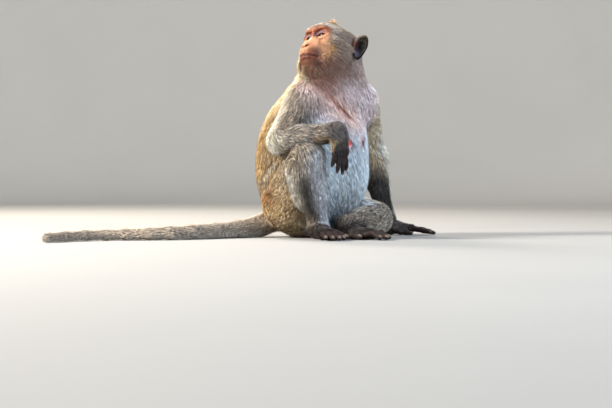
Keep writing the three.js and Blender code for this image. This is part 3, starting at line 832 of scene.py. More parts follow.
EAR_LILAC = hue(92, 88, 104)
EAR_PINK = hue(112, 62, 42)
NIPPLE = hue(206, 96, 88)
SEAT_GREY = hue(96, 84, 78)
NAIL_DARK = hue(58, 48, 42)
NAIL_PALE = hue(96, 82, 74)
FLOOR_GREY = hue(138, 138, 138)
WALL_GREY = hue(186, 185, 183)


# ---------------------------------------------------------------- where the markings lie
CREASE = (8.0, -52.5, 245.0), (61.0, -45.5, 192.0)  # from the throat to the breasts
FOLD = (-53.0, -48.0, 124.0), (-74.0, -18.0, 93.0)  # from the elbow's gap to the loin
RUMP_SPOT = (-66, -41, 65)
RUMP_RUST = (-70, -34, 60)
ELBOW_TUFT = np.add(JOINT["left"]["elbow"], (16, -4, 4))
NOSTRIL = (65.0, 4.4, -3.8)  # in the head's frame, as are the next two
MOUTH_HEIGHT = -19.4
BROW_HEIGHT = 26
# shin and shin_share: the side of the shank painted pale and bluish, as lit by the sky
LIMB_MARKS = {  # the ways that marked sides face, and how strong the marks are
    "right": dict(inner=56, shin=58, shin_share=0.9, calf_share=0.95, outer=-95, upper=0.05, wrist_share=0.6),
    "left": dict(inner=-14, shin=160, shin_share=0.3, calf_share=0, outer=100, upper=0.4, wrist_share=0.15),
}


def blend_in(base, colour, share):
    share = np.clip(share, 0, 1)[:, None]
    return base * (1 - share) + colour * share


def layered(base, *layers):
    """A colour with others laid over it in turn, each by its share at every point."""
    for colour, share in layers:
        base = blend_in(base, colour, share)
    return base


class Marks:
    """What lies where on the body: part weights, local places, bareness, colours and the coat's measures."""

    def __init__(self, points, normals):
        self.p, self.n = points, normals
        near = np.stack([g.at(points, 0.0) for g in GROUPS], 1)
        near -= near.min(1, keepdims=True)
        weight = np.exp(-near / 4)
        weight /= weight.sum(1, keepdims=True)
        self.region = near.argmin(1)
        self.w = dict(zip(NAMES, weight.T))
        around = points[:, :2] - TRUNK_AXIS
        facing = turn(CHEST_YAW)
        ahead, aside = around @ facing[0, :2], around @ facing[1, :2]
        self.around = np.degrees(np.arctan2(aside, ahead))  # 0 at the breastbone, positive to the left
        self.z = points[:, 2]
        self.head_at()
        self.limb_at()
        self.bare_at()

    def note(self, on, **values):
        """Keep values under their names where on is true, over what was noted before."""
        for name, value in values.items():
            before = getattr(self, name, np.zeros(len(self.p)))
            setattr(self, name, np.where(on, value, before))

    def towards(self, direction):
        """How far the skin faces a direction, -1 to 1."""
        return self.n @ direction

    def head_at(self):
        h = self.h = HEAD.local(self.p)
        x, y, z = h.T
        self.azimuth = np.degrees(np.arctan2(np.abs(y), x - 10))
        self.rise = np.degrees(np.arctan2(z - 5, np.hypot(x - 10, y)))
        self.from_eye = np.sqrt((x - EYE[0]) ** 2 + (np.abs(y) - EYE[1]) ** 2 + (z - EYE[2]) ** 2)
        self.ear = np.zeros(len(h))
        for s in (1, -1):
            near = np.where(self.w["head"] > 0.5, step_up(3.0, 0.6, ear(s).distance(self.p)), 0)
            place = ear_frame(s)
            q = place.local(self.p)
            facing = self.towards(place.rows[2])
            self.note(near > self.ear, ear_ring=ear_rings(q)[0], ear_high=q[:, 1], ear_facing=facing)
            self.ear = np.maximum(self.ear, near)

    def limb_at(self):
        for side in JOINT:
            x, y, z = HANDS[side].local(self.p).T
            on = (self.w["arm_" + side] > 0.5) & (x > -6) & (x < 95) & (np.abs(y) < 50) & (np.abs(z) < 42)
            self.note(on, hand=step_up(-6, 8, x), hand_x=x, hand_up=self.towards(HANDS[side].rows[2]))
            x, y, z = FEET[side].local(self.p).T
            on = (self.w["shank_" + side] > 0.5) & (z < 22) & (x > -30) & (np.abs(y) < 45)
            self.note(on, foot=step_up(22, 8, z), foot_x=x, foot_up=self.n[:, 2])
            share, _ = beside_line(self.p, *joints(side, "elbow", "wrist"))
            self.note(self.w["arm_" + side] > 0.3, fore=share)
        self.elbow_tuft = self.w["arm_left"] * step_up(15, 5, lengths(self.p - ELBOW_TUFT))

    def bare_at(self):
        """0 under full coat and 1 on bare skin."""
        az, el, (x, y, z) = self.azimuth, self.rise, self.h.T
        edge = 42 - 3 * step_up(5, -10, el) - 15 * step_up(-14, -32, el)
        limits = [step_up(edge - 4, edge + 3, az), step_up(32, 36.5, el + 0.05 * az), step_up(-35, -42, el)]
        self.face = np.where(self.w["head"] > 0.3, 1 - np.max(limits, axis=0), 0) * (x > 20)
        bare_nose = step_up(16, 10, np.abs(y)) * step_up(46, 54, x)
        bare_lips = step_up(50, 58, x) * between(z, -31, -25, -20, -12)
        smooth = np.max([step_up(17, 13, self.from_eye), bare_nose, bare_lips], axis=0)
        self.down = self.face * (1 - 0.85 * smooth)  # where the face carries short hair
        cheek = between(az, 40, 46, 62, 86) * step_up(18, 2, el)
        beard = step_up(-32, -40, el) * step_up(60, 40, az) * (x > 10)
        self.ruff = self.w["head"] * np.maximum(cheek, beard)
        fingers = self.hand * np.maximum(step_up(34, 46, self.hand_x), step_up(0.1, -0.35, self.hand_up))
        toes = self.foot * np.maximum(step_up(46, 60, self.foot_x), step_up(0.1, -0.4, self.foot_up))
        self.ear_fringe = self.ear * step_up(9, 14, self.ear_high) * step_up(0.80, 0.95, self.ear_ring)
        self.ear_fringe *= step_up(-12, -5, x)
        ear_bare = self.ear * np.maximum(step_up(-0.3, 0.2, self.ear_facing), 0.6)
        ear_bare = ear_bare * (1 - 0.8 * self.ear_fringe)
        from_nipple = np.min([lengths(self.p - tip) for _, tip in NIPPLES], axis=0)
        self.nipple = step_up(11.5, 8.0, from_nipple)
        self.seat = self.w["trunk"] * step_up(9, 2, self.z) * step_up(40, 80, np.abs(self.around))
        face, crease = self.face * (1 - 0.75 * self.down), 0.85 * self.crease_at()
        self.bare = np.max([face, fingers, toes, ear_bare, self.nipple, crease, self.seat], axis=0)

    def crease_at(self):
        """The parting of the coat down the chest, from the throat to the breasts."""
        share, off = beside_line(self.p, *CREASE)
        away, fades = lengths(off), between(share, -0.15, 0.2, 0.9, 1.1)
        self.parting = bump_at(away, 0, 22) * (self.w["trunk"] + self.w["head"] * 0.6)
        self.parted = bump_at(away, 0, 4.5) * fades
        return step_up(4.5, 1.5, away) * self.w["trunk"] * fades

    def colours(self):
        """The marking at each point, for skin and coat alike, painted light and shade included."""
        total = self.trunk() * self.w["trunk"][:, None] + TAIL_GREY * self.w["tail"][:, None]
        total += self.head() * self.w["head"][:, None]
        for side in JOINT:
            for part, paint in (("thigh_", self.thigh), ("shank_", self.shank), ("arm_", self.arm)):
                total += paint(side) * self.w[part + side][:, None]
        return layered(total, (NIPPLE, self.nipple), (SEAT_GREY, self.seat))

    def trunk(self):
        around, beside, z = self.around, np.abs(self.around), self.z
        # pale belly with a painted blue cast of sky light
        belly = blend_in(CHEST_MAUVE, BELLY_WHITE_SKY_TINT, step_up(204, 160, z + 0.25 * around))
        neck = step_up(246, 268, z) * step_up(95, 40, np.abs(around + 20))
        _, off = beside_line(self.p, *FOLD)
        below = unit(np.cross(np.subtract(FOLD[1], FOLD[0]), (-0.85, -0.5, 0.1)))
        away, fold_shade = lengths(off), step_up(0, 3, off @ below)
        return layered(
            BACK_GOLD,
            (BACK_DARK, 0.4 * step_up(105, 40, z)),
            (BACK_PALE, 0.7 * step_up(170, 225, z)),
            (FLANK, 0.8 * step_up(140, 100, beside) * step_up(225, 185, z)),
            (FLANK, 0.5 * step_up(60, 110, -around) * step_up(120, 80, z)),
            (belly, step_up(86, 52, np.abs(around + 4))),
            (RUST, 0.75 * bump_at(around, -100, 26) * bump_at(z, 58, 24)),
            # painted shade along the fold's lower side, under a pale line along the fold itself
            (BACK_DARK * 0.5, 0.7 * bump_at(away, 6.5, 3.5) * fold_shade),
            (CALF_PALE, 0.8 * bump_at(away, 0, 3.5)),
            # front of the neck under the head: brown hair, darkened as painted shade of the head
            (THROAT_SHADE_BROWN, 0.85 * neck * self.w["trunk"]),
            (CHEST_PINK, 0.95 * self.parting),
            # painted shade in the crease down the chest, over its reddish bare skin
            (CREASE_RED_SHADE, 0.8 * self.parted),
        )

    def thigh(self, side):
        share, _ = beside_line(self.p, *joints(side, "hip", "knee"))
        inner = step_up(0.0, 0.6, self.towards(turn(LIMB_MARKS[side]["inner"])[0]))
        right = side == "right"
        from_spot = lengths((self.p - RUMP_SPOT) * (0.7, 0.7, 1.3))
        return layered(
            FLANK,
            (THIGH_GREY, step_up(0.2, 0.9, share)),
            (BACK_GOLD, 0.5 * step_up(0.5, 0.0, share)),
            (RUST, 0.6 * right * bump_at(lengths(self.p - RUMP_RUST), 0, 17)),
            (RUMP_DARK, 0.9 * right * step_up(7.5, 3.5, from_spot)),
            # pale inner thigh with a painted blue cast of sky light
            (BELLY_WHITE_SKY_TINT, 0.55 * inner * step_up(0.35, 0.9, share)),
        )

    def shank(self, side):
        share, _ = beside_line(self.p, *joints(side, "knee", "ankle"))
        marks, across = LIMB_MARKS[side], self.towards(turn(-40)[1])
        calf = marks["calf_share"]
        shin = marks["shin_share"] * step_up(0.5, 0.85, self.towards(turn(marks["shin"])[0]))
        sole = step_up(0.1, -0.4, self.foot_up)
        foot = layered(HAND_HAIR, (HAND_DARK, step_up(30, 56, self.foot_x)), (HAND_DARK, sole))
        return layered(
            THIGH_GREY,
            (ARM_GREY, 0.6 * step_up(0.1, 0.7, share)),
            # pale shin hair on the side facing the blue fill, with that light painted in
            (SHIN_PALE_SKYLIT, shin),
            (CALF_PALE, between(share, 0.06, 0.14, 0.5, 0.75) * bump_at(across, -0.45, 0.6)),
            (CALF_DARK, calf * between(share, 0.1, 0.25, 0.7, 0.95) * bump_at(across, 0.55, 0.28)),
            (foot, self.foot),
        )

    def arm(self, side):
        marks, fore, x = LIMB_MARKS[side], self.fore, self.hand_x
        upper, left = step_up(marks["upper"], -0.25, fore), side == "left"
        # rim: a painted pale rim light on the side facing +X, plus the pale elbow tuft
        rim = 0.8 * step_up(0.8, 0.97, self.towards((0.98, 0.1, 0.17))) + self.elbow_tuft
        outer = self.towards(turn(marks["outer"])[0])
        little_finger = -SIGN[side] * self.towards(HANDS[side].rows[1])
        edge = step_up(0.4, 0.8, little_finger) * between(x, -2, 8, 28, 40)
        hand = layered(
            HAND_HAIR,
            (HAND_DARK, step_up(18, 42, x)),
            (HAND_DARK, step_up(0.2, -0.3, self.hand_up)),
            (WRIST_GOLD, marks["wrist_share"] * edge),
        )
        return layered(
            ARM_GREY,
            (WRIST_DARK, 0.8 * step_up(0.7, 0.95, fore)),
            # left forearm near black: dark grey hair with painted shade
            (ARM_DARK_SHADED, 0.9 * left * step_up(-0.3, 0.4, fore)),
            # painted rim light and the pale elbow tuft on the left arm
            (ARM_PALE, left * rim),
            (BACK_PALE, 0.95 * upper),
            (BACK_GOLD, 0.5 * upper * step_up(0.1, 0.7, outer)),
            (ARM_PALE, bump_at(fore, -0.08, 0.3) * step_up(0.1, 0.75, outer)),
            (hand, self.hand),
        )

    def head(self):
        return layered(self.head_fur(), (self.face_skin(), self.face), (self.ears(), self.ear))

    def head_fur(self):
        az, el, (x, y, z) = self.azimuth, self.rise, self.h.T
        crest = 0.8 * step_up(CREST_REACH + 2, CREST_REACH - 4, lengths(self.h - CREST_BASE))
        over_brow = bump_at(el + 0.05 * az, 43, 11) * step_up(70, 40, az)
        beside_eye = bump_at(az, 47, 5) * between(el, -2, 8, 40, 50)
        whiskers = bump_at(az, 44 + 0.6 * np.minimum(el + 8, 0), 5.0) * between(el, -36, -28, -10, 0)
        return layered(
            CROWN_GREY,
            (CROWN_GOLD, 0.8 * step_up(30, 42, z) * step_up(36, 20, x)),
            (CREST_GOLD, crest * step_up(3, 12, x)),
            (CREST_DARK, crest * step_up(8, 0, x)),
            (BROW_WHITE, 0.9 * np.maximum(over_brow, 0.5 * beside_eye)),
            (WHISKER_GOLD, 0.9 * whiskers),
            # underside of the jaw: pale beard hair painted brown as it looks in shade
            (THROAT_SHADE_BROWN, 0.85 * step_up(-4, -26, z) * step_up(125, 95, az)),
            # pale cheek hair made cream on the far side only: painted light shining through the hair
            (CREAM_BACKLIT, 0.75 * self.ruff * step_up(3, -9, y)),
        )

    def face_skin(self):
        x, side, z = self.h[:, 0], np.abs(self.h[:, 1]), self.h[:, 2]
        slit = bump_at(z, MOUTH_HEIGHT - 0.06 * side, 1.5) * step_up(49, 53, x) * step_up(20, 17, side)
        nostril = lengths((np.stack([x, side, z], 1) - NOSTRIL) * (1, 0.7, 1))
        return layered(
            FACE_TAN,
            (BROW_ORANGE, 0.9 * bump_at(z, BROW_HEIGHT, 7) * step_up(36, 44, x)),
            *self.eyelids(x, side, z),
            (MUZZLE_BROWN, 0.8 * step_up(0, -10, z) * step_up(47, 57, x) * step_up(4, 11, side)),
            (MUZZLE_BROWN, 0.6 * step_up(-8, -12, z) * step_up(50, 56, x)),
            (BROW_ORANGE, 0.6 * bump_at(z, 0, 6) * step_up(54, 62, x)),
            (CHIN_BROWN, 0.85 * step_up(-21, -24, z)),
            (LIP_PINK, 0.7 * bump_at(z, MOUTH_HEIGHT - 0.2 - 0.02 * side, 3.2) * step_up(46, 52, x)),
            # painted shade in the line between the lips and in the nostrils
            (HOLLOW_SHADE, slit),
            (HOLLOW_SHADE, step_up(2.8, 1.6, nostril)),
        )

    def eyelids(self, x, side, z):
        """The painted shade in the fold over each lid on its reddish-brown skin, the mauve inner corner, the
        lilac lid with a painted highlight in its middle, and painted shade where the lids meet the eye.
        """
        eye, beside = self.from_eye, side - EYE[1]
        over = z - EYE[2] - 0.18 * beside
        fold = between(over, 5.0, 6.4, 8.2, 10.2) * step_up(13.0, 10.0, np.abs(beside)) * step_up(18, 14, eye)
        by_nose = 0.8 * bump_at(side, 3.8, 2.2) * bump_at(over, 4, 7) * step_up(38, 42, x)
        by_temple = 0.7 * bump_at(side, 24, 2.5) * bump_at(over, 2, 5) * step_up(30, 36, x)
        socket = np.max([fold, by_nose, by_temple], axis=0)
        upper_lid = step_up(12.8, 11.8, eye) * between(over, 0.4, 1.6, 4.6, 6.2)
        return (
            # reddish-brown skin darkened as painted shade under the brow, by the nose and by the temple
            (SOCKET_BROWN_SHADE, 0.8 * socket * (x > EYE[0] - 2)),
            (CORNER_MAUVE, 0.85 * bump_at(beside, -8.5, 2.8) * bump_at(over, 2.0, 4.5) * (x > EYE[0])),
            (LID_LILAC, upper_lid * step_up(-9, -5, beside)),
            # a painted highlight on the middle of the upper lid
            (LID_PAINTED_HIGHLIGHT, 0.9 * upper_lid * bump_at(beside, 1.0, 6.5) * bump_at(over, 3.6, 2.0)),
            # painted shade where the lids meet the eyeball
            (HOLLOW_SHADE, step_up(11.0, 10.1, eye)),
        )

    def ears(self):
        ring, high = self.ear_ring, self.ear_high
        inside = layered(
            # dark ear skin, near black as painted shade deep in the upper bowl
            EAR_DARK_AND_SHADE,
            (EAR_LILAC, 0.8 * bump_at(high, -11, 7)),
            (EAR_DARK_AND_SHADE, step_up(0.75, 0.95, ring)),
            (EAR_PINK, 0.8 * bump_at(high, 10, 8) * step_up(-10, -3, self.h[:, 0])),
        )
        behind = blend_in(EAR_DARK_AND_SHADE, CROWN_GREY, 0.6 * step_up(0.9, 0.4, ring))
        facing = step_up(-0.2, 0.3, self.ear_facing)
        return layered(behind, (inside, facing), (BROW_WHITE, 0.45 * self.ear_fringe))

    def lie(self):
        """The way the coat lies, along the skin."""
        total = np.zeros_like(self.p)
        for g in GROUPS:
            if g.name == "trunk":
                way = self.trunk_lie()
            elif g.name == "head":
                way = self.head_lie()
            else:
                way = g.lie(self.p)
            total += way * self.w[g.name][:, None]
        return total

    def trunk_lie(self):
        facing = turn(CHEST_YAW)
        a = np.radians(self.around)[:, None]
        tangent = -np.sin(a) * facing[0] + np.cos(a) * facing[1]
        beside = np.abs(self.around)
        to_front = -np.sign(self.around) * step_up(0, 40, beside) * step_up(175, 120, beside)
        return unit_rows(np.array([0, 0, -1.0]) + tangent * (0.4 * to_front)[:, None]).astype(F32)

    def head_lie(self):
        x, y, z = self.h.T
        local = np.stack([
            np.full(len(x), -1.0),
            0.35 * np.sign(y) * step_up(0, 20, np.abs(y)),
            -0.5 * step_up(20, -10, z) - 0.9 * step_up(-12, -34, z),
        ], 1)
        hangs = (self.ruff * step_up(6, -6, y) * step_up(8, -8, self.rise))[:, None]
        local = local * (1 - hangs) + np.array([0.1, 0, -1.0]) * hangs
        ear_way = np.stack([np.full(len(x), -0.3), np.sign(y), np.full(len(x), 0.6)], 1)
        local = local * (1 - self.ear[:, None]) + ear_way * self.ear[:, None]
        return unit_rows(local @ HEAD.rows).astype(F32)


# ---------------------------------------------------------------- the coat
TUFTS = 138000
MOST_TUFTS = 19500  # in one piece, at 10 triangles each
COAT = {  # tufts a square millimetre, a tuft's width, and the spacing of locks
    "trunk": (0.60, 0.95, 3.2), "thigh": (0.70, 0.90, 3.0), "shank": (0.85, 0.80, 2.8),
    "arm": (0.95, 0.78, 2.6), "tail": (0.95, 0.75, 2.2), "head": (1.9, 0.58, 2.0),
}
DEEPEST = 9  # depth of the coat before the ruff adds to it
RUFF_DEPTH = 8
ELBOW_TUFT_DEPTH = 7
SHORTEST, LONGEST = 1.5, 21  # length of a tuft
ROOT_DEPTH = 0.5  # how far a tuft is set into the skin, and how high its tip stays over the floor
BLOWN, PULLED = 0.10, 0.30  # how far tufts swing aside, and how far they lean to their lock
CREST_BASE, CREST_TIP = (12, 0, 41), (8, 2, 66)
CREST_REACH = 13
PATCH = 0.003  # a tuft's patch on its UV map


def coat_measures(marks, depth):
    """Per point: tufts a square millimetre, tuft length, width, and the depth of the coat."""
    w = marks.w
    shares = {kind: sum(w[name] for name in NAMES if name.startswith(kind)) for kind in COAT}
    density, width = (sum(COAT[kind][k] * share for kind, share in shares.items()) for k in (0, 1))
    small = np.maximum(marks.hand, marks.foot)
    density = density * (1 + 0.7 * small)
    width = width * (1 - 0.3 * small)
    cover = 1 - marks.bare
    ruff = marks.ruff * (1 - 0.75 * step_up(-6, 6, marks.h[:, 1]))
    stand = 0.42 + 0.10 * w["tail"] + 0.26 * ruff - 0.14 * marks.down
    depth = np.clip(depth, 0, DEEPEST) * step_up(-0.1, 0.6, cover) + RUFF_DEPTH * ruff
    depth = depth * (1 - 0.55 * marks.down) * (1 - 0.65 * marks.parted) + ELBOW_TUFT_DEPTH * marks.elbow_tuft
    width = width * (1 - 0.4 * marks.down)
    length = depth / stand
    density = density * step_up(0.10, 0.5, cover) * (depth > 0.5)
    belly = w["trunk"] * step_up(70, 40, np.abs(marks.around + 4)) * step_up(190, 150, marks.z)
    return density * (1 - 0.25 * belly), np.clip(length, SHORTEST, LONGEST), width, depth


def scattered(vertices, triangles, density, count):
    """Roots spread over the skin by density: their triangle and their place in it."""
    a, b, c = (vertices[triangles[:, k]] for k in range(3))
    area = lengths(np.cross(b - a, c - a)) / 2 * density[triangles].mean(1)
    total = np.cumsum(area.astype(float))
    at = (np.arange(count) + RANDOM.random(count)) / count * total[-1]
    face = np.minimum(np.searchsorted(total, at), len(triangles) - 1)
    s, t = RANDOM.random((2, count))
    over = s + t > 1
    s[over], t[over] = 1 - s[over], 1 - t[over]
    return face, np.stack([1 - s - t, s, t], 1).astype(F32)


def neighbours_mean(values, faces, rounds):
    """Values smoothed along the edges of the faces."""
    starts = np.concatenate([f.ravel() for f in faces])
    ends = np.concatenate([np.roll(f, -1, axis=1).ravel() for f in faces])
    count = np.bincount(starts, minlength=len(values)) + np.bincount(ends, minlength=len(values))
    for _ in range(rounds):
        spread = np.empty_like(values)
        for axis in range(values.shape[1]):
            spread[:, axis] = np.bincount(starts, values[ends, axis], len(values))
            spread[:, axis] += np.bincount(ends, values[starts, axis], len(values))
        values = values * 0.4 + spread / np.maximum(count, 1)[:, None] * 0.6
    return values


def nearest_lock(roots, spacing):
    """The lock that each root belongs to: the nearest of a spaced choice of the roots."""
    order = RANDOM.permutation(len(roots))
    cell = np.floor(roots / spacing[:, None]).astype(np.int64)
    key = (cell[:, 0] * 73856093) ^ (cell[:, 1] * 19349663) ^ (cell[:, 2] * 83492791)
    _, first = np.unique(key[order], return_index=True)
    centres = order[first]
    tree = KDTree(len(centres))
    for i, centre in enumerate(centres):
        tree.insert(roots[centre], i)
    tree.balance()
    return np.array([centres[tree.find(root)[1]] for root in roots])


def combed(root, way, length, depth, rise):
    """Middle and tip of each tuft: out along the lie of the coat, held at its height over the skin."""
    middle = root + way * (length * 0.45)[:, None]
    distance, out = SKIN.slope(middle)
    middle += out * (depth * rise * 0.62 - distance)[:, None]
    onward = unit_rows(way - out * row_dots(way, out)[:, None] + 1e-5)
    tip = middle + onward * (length * 0.55)[:, None]
    distance, out_tip = SKIN.slope(tip)
    tip += out_tip * (depth * rise - distance)[:, None]
    return middle, tip, out, onward


def tuft_mesh(name, root, middle, tip, sides, outs, width, colours, uv):
    """One closed, three-sided tapering blade for each tuft, with one bend."""
    count = len(root)
    ring = np.array([(-0.5, -0.16), (0.5, -0.16), (0.0, 0.34)], F32)
    vertices = np.empty((count, 7, 3), F32)
    for k, (across, up) in enumerate(ring):
        vertices[:, k] = root + (sides[0] * across + outs[0] * up) * width[:, None]
        vertices[:, 3 + k] = middle + (sides[1] * across + outs[1] * up) * (width * 0.85)[:, None]
    vertices[:, 6] = tip
    base = (np.arange(count) * 7)[:, None]
    cap = base + np.array([[2, 1, 0]])
    walls = np.concatenate([base + np.array([[k, (k + 1) % 3, 3 + (k + 1) % 3, 3 + k]]) for k in range(3)])
    points = np.concatenate([base + np.array([[3 + k, 3 + (k + 1) % 3, 6]]) for k in range(3)])
    piece = make_mesh(name, vertices.reshape(-1, 3), [cap, walls, points])
    add_colour(piece, "paint", colours.reshape(-1, 3))
    thirds = [(k / 3, (k + 1) / 3) for k in range(3)]
    low = np.array([[(0.4, 0.0), (0.6, 0.0), (0.5, 0.06)]])
    wall_uv = np.array([[(a, 0.08), (b, 0.08), (b, 0.5), (a, 0.5)] for a, b in thirds])
    point_uv = np.array([[(a, 0.5), (b, 0.5), ((a + b) / 2, 1.0)] for a, b in thirds])
    corners = [np.broadcast_to(low, (count, 3, 2))]
    shares = [np.broadcast_to(wall_uv[k], (count, 4, 2)) for k in range(3)]
    shares += [np.broadcast_to(point_uv[k], (count, 3, 2)) for k in range(3)]
    corners += shares
    places = [((uv[:, None, :] - PATCH / 2) + c * PATCH).reshape(-1, 2) for c in corners]
    layer = piece.data.uv_layers.new(name="OFBake")
    layer.uv.foreach_set("vector", np.concatenate(places).astype(F32).ravel())
    return piece


ROUTES = {"tail": TAIL_ROUTE}
for side, joint in JOINT.items():
    ROUTES["thigh_" + side] = [joint["hip"], joint["knee"]]
    ROUTES["shank_" + side] = [joint["knee"], joint["ankle"], joint["toe"]]
    ROUTES["arm_" + side] = [joint["shoulder"], joint["elbow"], joint["wrist"], HANDS[side].at((70, 0, 0))]


def unrolled(points, route):
    """The skin round a route, unrolled: the angle round it and the way along it."""
    route = np.array(route, float)
    best, along, angle = np.full(len(points), FAR), np.zeros(len(points)), np.zeros(len(points))
    gone = 0.0
    for a, b in zip(route, route[1:]):
        ahead = b - a
        reach = np.linalg.norm(ahead)
        side = unit(np.cross(ahead, (0.3, 0.2, 1)))
        up = unit(np.cross(side, ahead))
        share = (points - a) @ ahead / reach**2
        share = np.clip(share, 0 if gone else -1, 1 if b is not route[-1] else 2)
        away = points - a - share[:, None] * ahead
        near = lengths(away) < best
        best = np.where(near, lengths(away), best)
        along = np.where(near, gone + share * reach, along)
        angle = np.where(near, np.arctan2(away @ side, away @ up), angle)
        gone += reach
    return angle, along


def unwrap(name, points, around):
    if name == "trunk":
        return np.radians(around), points[:, 2]
    if name == "head":
        h = HEAD.local(points) - (5, 0, 2)
        return np.arctan2(h[:, 1], -h[:, 0]), np.arctan2(h[:, 2], np.hypot(h[:, 0], h[:, 1]))
    return unrolled(points, ROUTES[name])


def spread_evenly(values):
    """0.01 to 0.99, half by value and half by rank, so that the map is filled."""
    rank = np.empty(len(values))
    rank[np.argsort(values)] = np.linspace(0, 1, len(values))
    share = (values - values.min()) / max(np.ptp(values), 1e-9)
    return 0.01 + 0.98 * (0.5 * share + 0.5 * rank)


def tuft_colours(paint, lock_tone, soft, ruff):
    """Painted shade at the root, as deep in the coat, the marking's colour in the middle, a pale or dark tip;
    soft hair varies less.
    """
    count = len(paint)
    own = np.exp(RANDOM.normal(0, 0.34, count))
    tone = ((own * lock_tone) ** (1 - 0.7 * soft))[:, None]
    ticked = RANDOM.random(count) < 0.55 + 0.45 * ruff
    tips = np.where(ticked[:, None], paint * 1.5 + 0.05, paint * 0.5)
    tips += (paint - tips) * 0.6 * soft[:, None]
    # cream tips on the far side's ruff only: painted light shining through the hair
    tips += (CREAM_BACKLIT - tips) * (0.7 * ruff * (RANDOM.random(count) < 0.6))[:, None]
    colours = np.empty((count, 7, 3), F32)
    # roots darker: painted shade deep in the coat
    colours[:, 0:3] = (paint * (0.34 + 0.42 * soft)[:, None] * tone)[:, None]
    colours[:, 3:6] = (paint * tone)[:, None]
    colours[:, 6] = tips * tone
    return np.clip(colours, 0.002, 0.9)


def make_coat(vertices, faces, marks, paint, normals, depth):
    density, length, width, depth = coat_measures(marks, depth)
    chest = marks.w["trunk"] * step_up(80, 50, np.abs(marks.around + 4))
    soft = np.max([marks.down, 0.7 * chest, 0.7 * marks.w["tail"], 0.55 * marks.w["head"]], axis=0)
    # the ruff on the far side only, whose tips get painted back light
    ruff = marks.ruff * step_up(6, -6, marks.h[:, 1])
    way = marks.lie()
    way -= normals * row_dots(way, normals)[:, None]
    way = neighbours_mean(unit_rows(way), faces, 14)
    triangles = np.concatenate([faces[0][:, [0, 1, 2]], faces[0][:, [0, 2, 3]], faces[1]])
    crest = lengths(vertices - HEAD.at(CREST_BASE)) < CREST_REACH
    density = density * np.where(crest, 2.5, 1)
    face, share = scattered(vertices, triangles, density, TUFTS)
    corners = triangles[face]
    taken = lambda values: np.einsum("ij,ij...->i...", share, values[corners])
    root, normal = taken(vertices), unit_rows(taken(normals))
    length, width, depth = taken(length), taken(width), taken(depth)
    way = taken(way)
    way = unit_rows(way - normal * row_dots(way, normal)[:, None])
    region = marks.region[corners[:, 0]]
    spacing = np.array([COAT[n.split("_")[0]][2] for n in NAMES])[region]
    lock = nearest_lock(root, spacing)
    side = np.cross(way, normal)
    loose = 1 - 0.6 * taken(soft)
    swing = (RANDOM.normal(0, 0.11, len(root))[lock] + RANDOM.normal(0, BLOWN, len(root))) * loose
    way = unit_rows(way + side * swing[:, None])
    length = length * (1 + RANDOM.normal(0, 0.10, len(root))[lock]) * RANDOM.uniform(0.75, 1.1, len(root))
    rise = RANDOM.uniform(0.62, 1.0, len(root))
    middle, tip, out, onward = combed(root, way, length, depth, rise)
    pull = np.where(lengths(tip - tip[lock]) < 9, PULLED * loose, 0.0)[:, None]
    tip = tip + (tip[lock] - tip) * pull
    middle = middle + (middle[lock] - middle) * pull * 0.3
    root, middle, tip = crest_tufts(root, middle, tip)
    root = root - normal * ROOT_DEPTH
    for points in (middle, tip):
        points[:, 2] = np.maximum(points[:, 2], ROOT_DEPTH)
    sides = np.cross(way, normal), np.cross(onward, out)
    lock_tone = np.exp(RANDOM.normal(0, 0.27, len(root)))[lock]
    around = marks.around[corners[:, 0]]
    colours = tuft_colours(taken(paint), lock_tone, taken(soft), taken(ruff))
    made = []
    for i, name in enumerate(NAMES):
        mine = np.flatnonzero(region == i)
        u, v = unwrap(name, root[mine], around[mine])
        parts = -(-len(mine) // MOST_TUFTS)
        for k, band in enumerate(np.array_split(np.argsort(v), parts)):
            pick = mine[band]
            uv = np.stack([spread_evenly(u[band]), spread_evenly(v[band])], 1)
            label = f"coat_{name}" if parts == 1 else f"coat_{name}_{k + 1}"
            across, up = [s[pick] for s in sides], [normal[pick], out[pick]]
            own_width = width[pick] * RANDOM.uniform(0.8, 1.2, len(pick))
            made.append(tuft_mesh(label, root[pick], middle[pick], tip[pick], across, up, own_width,
                                  colours[pick], uv))
    return made


def crest_tufts(root, middle, tip):
    """The hair of the crown's crest gathers in one upright point."""
    base, top = HEAD.at(CREST_BASE), HEAD.at(CREST_TIP)
    away = lengths(root - base)
    near = away < CREST_REACH
    reach = RANDOM.uniform(0.45, 1.0, len(root)) * (1 - 0.45 * away / CREST_REACH)
    goal = root + (top - root) * np.maximum(reach, 0.2)[:, None]
    drift = RANDOM.normal(0, 1.2, tip.shape)
    tip = np.where(near[:, None], goal + drift, tip)
    middle = np.where(near[:, None], (root + tip) / 2 + (root - base) * 0.10, middle)
    return root, middle, tip


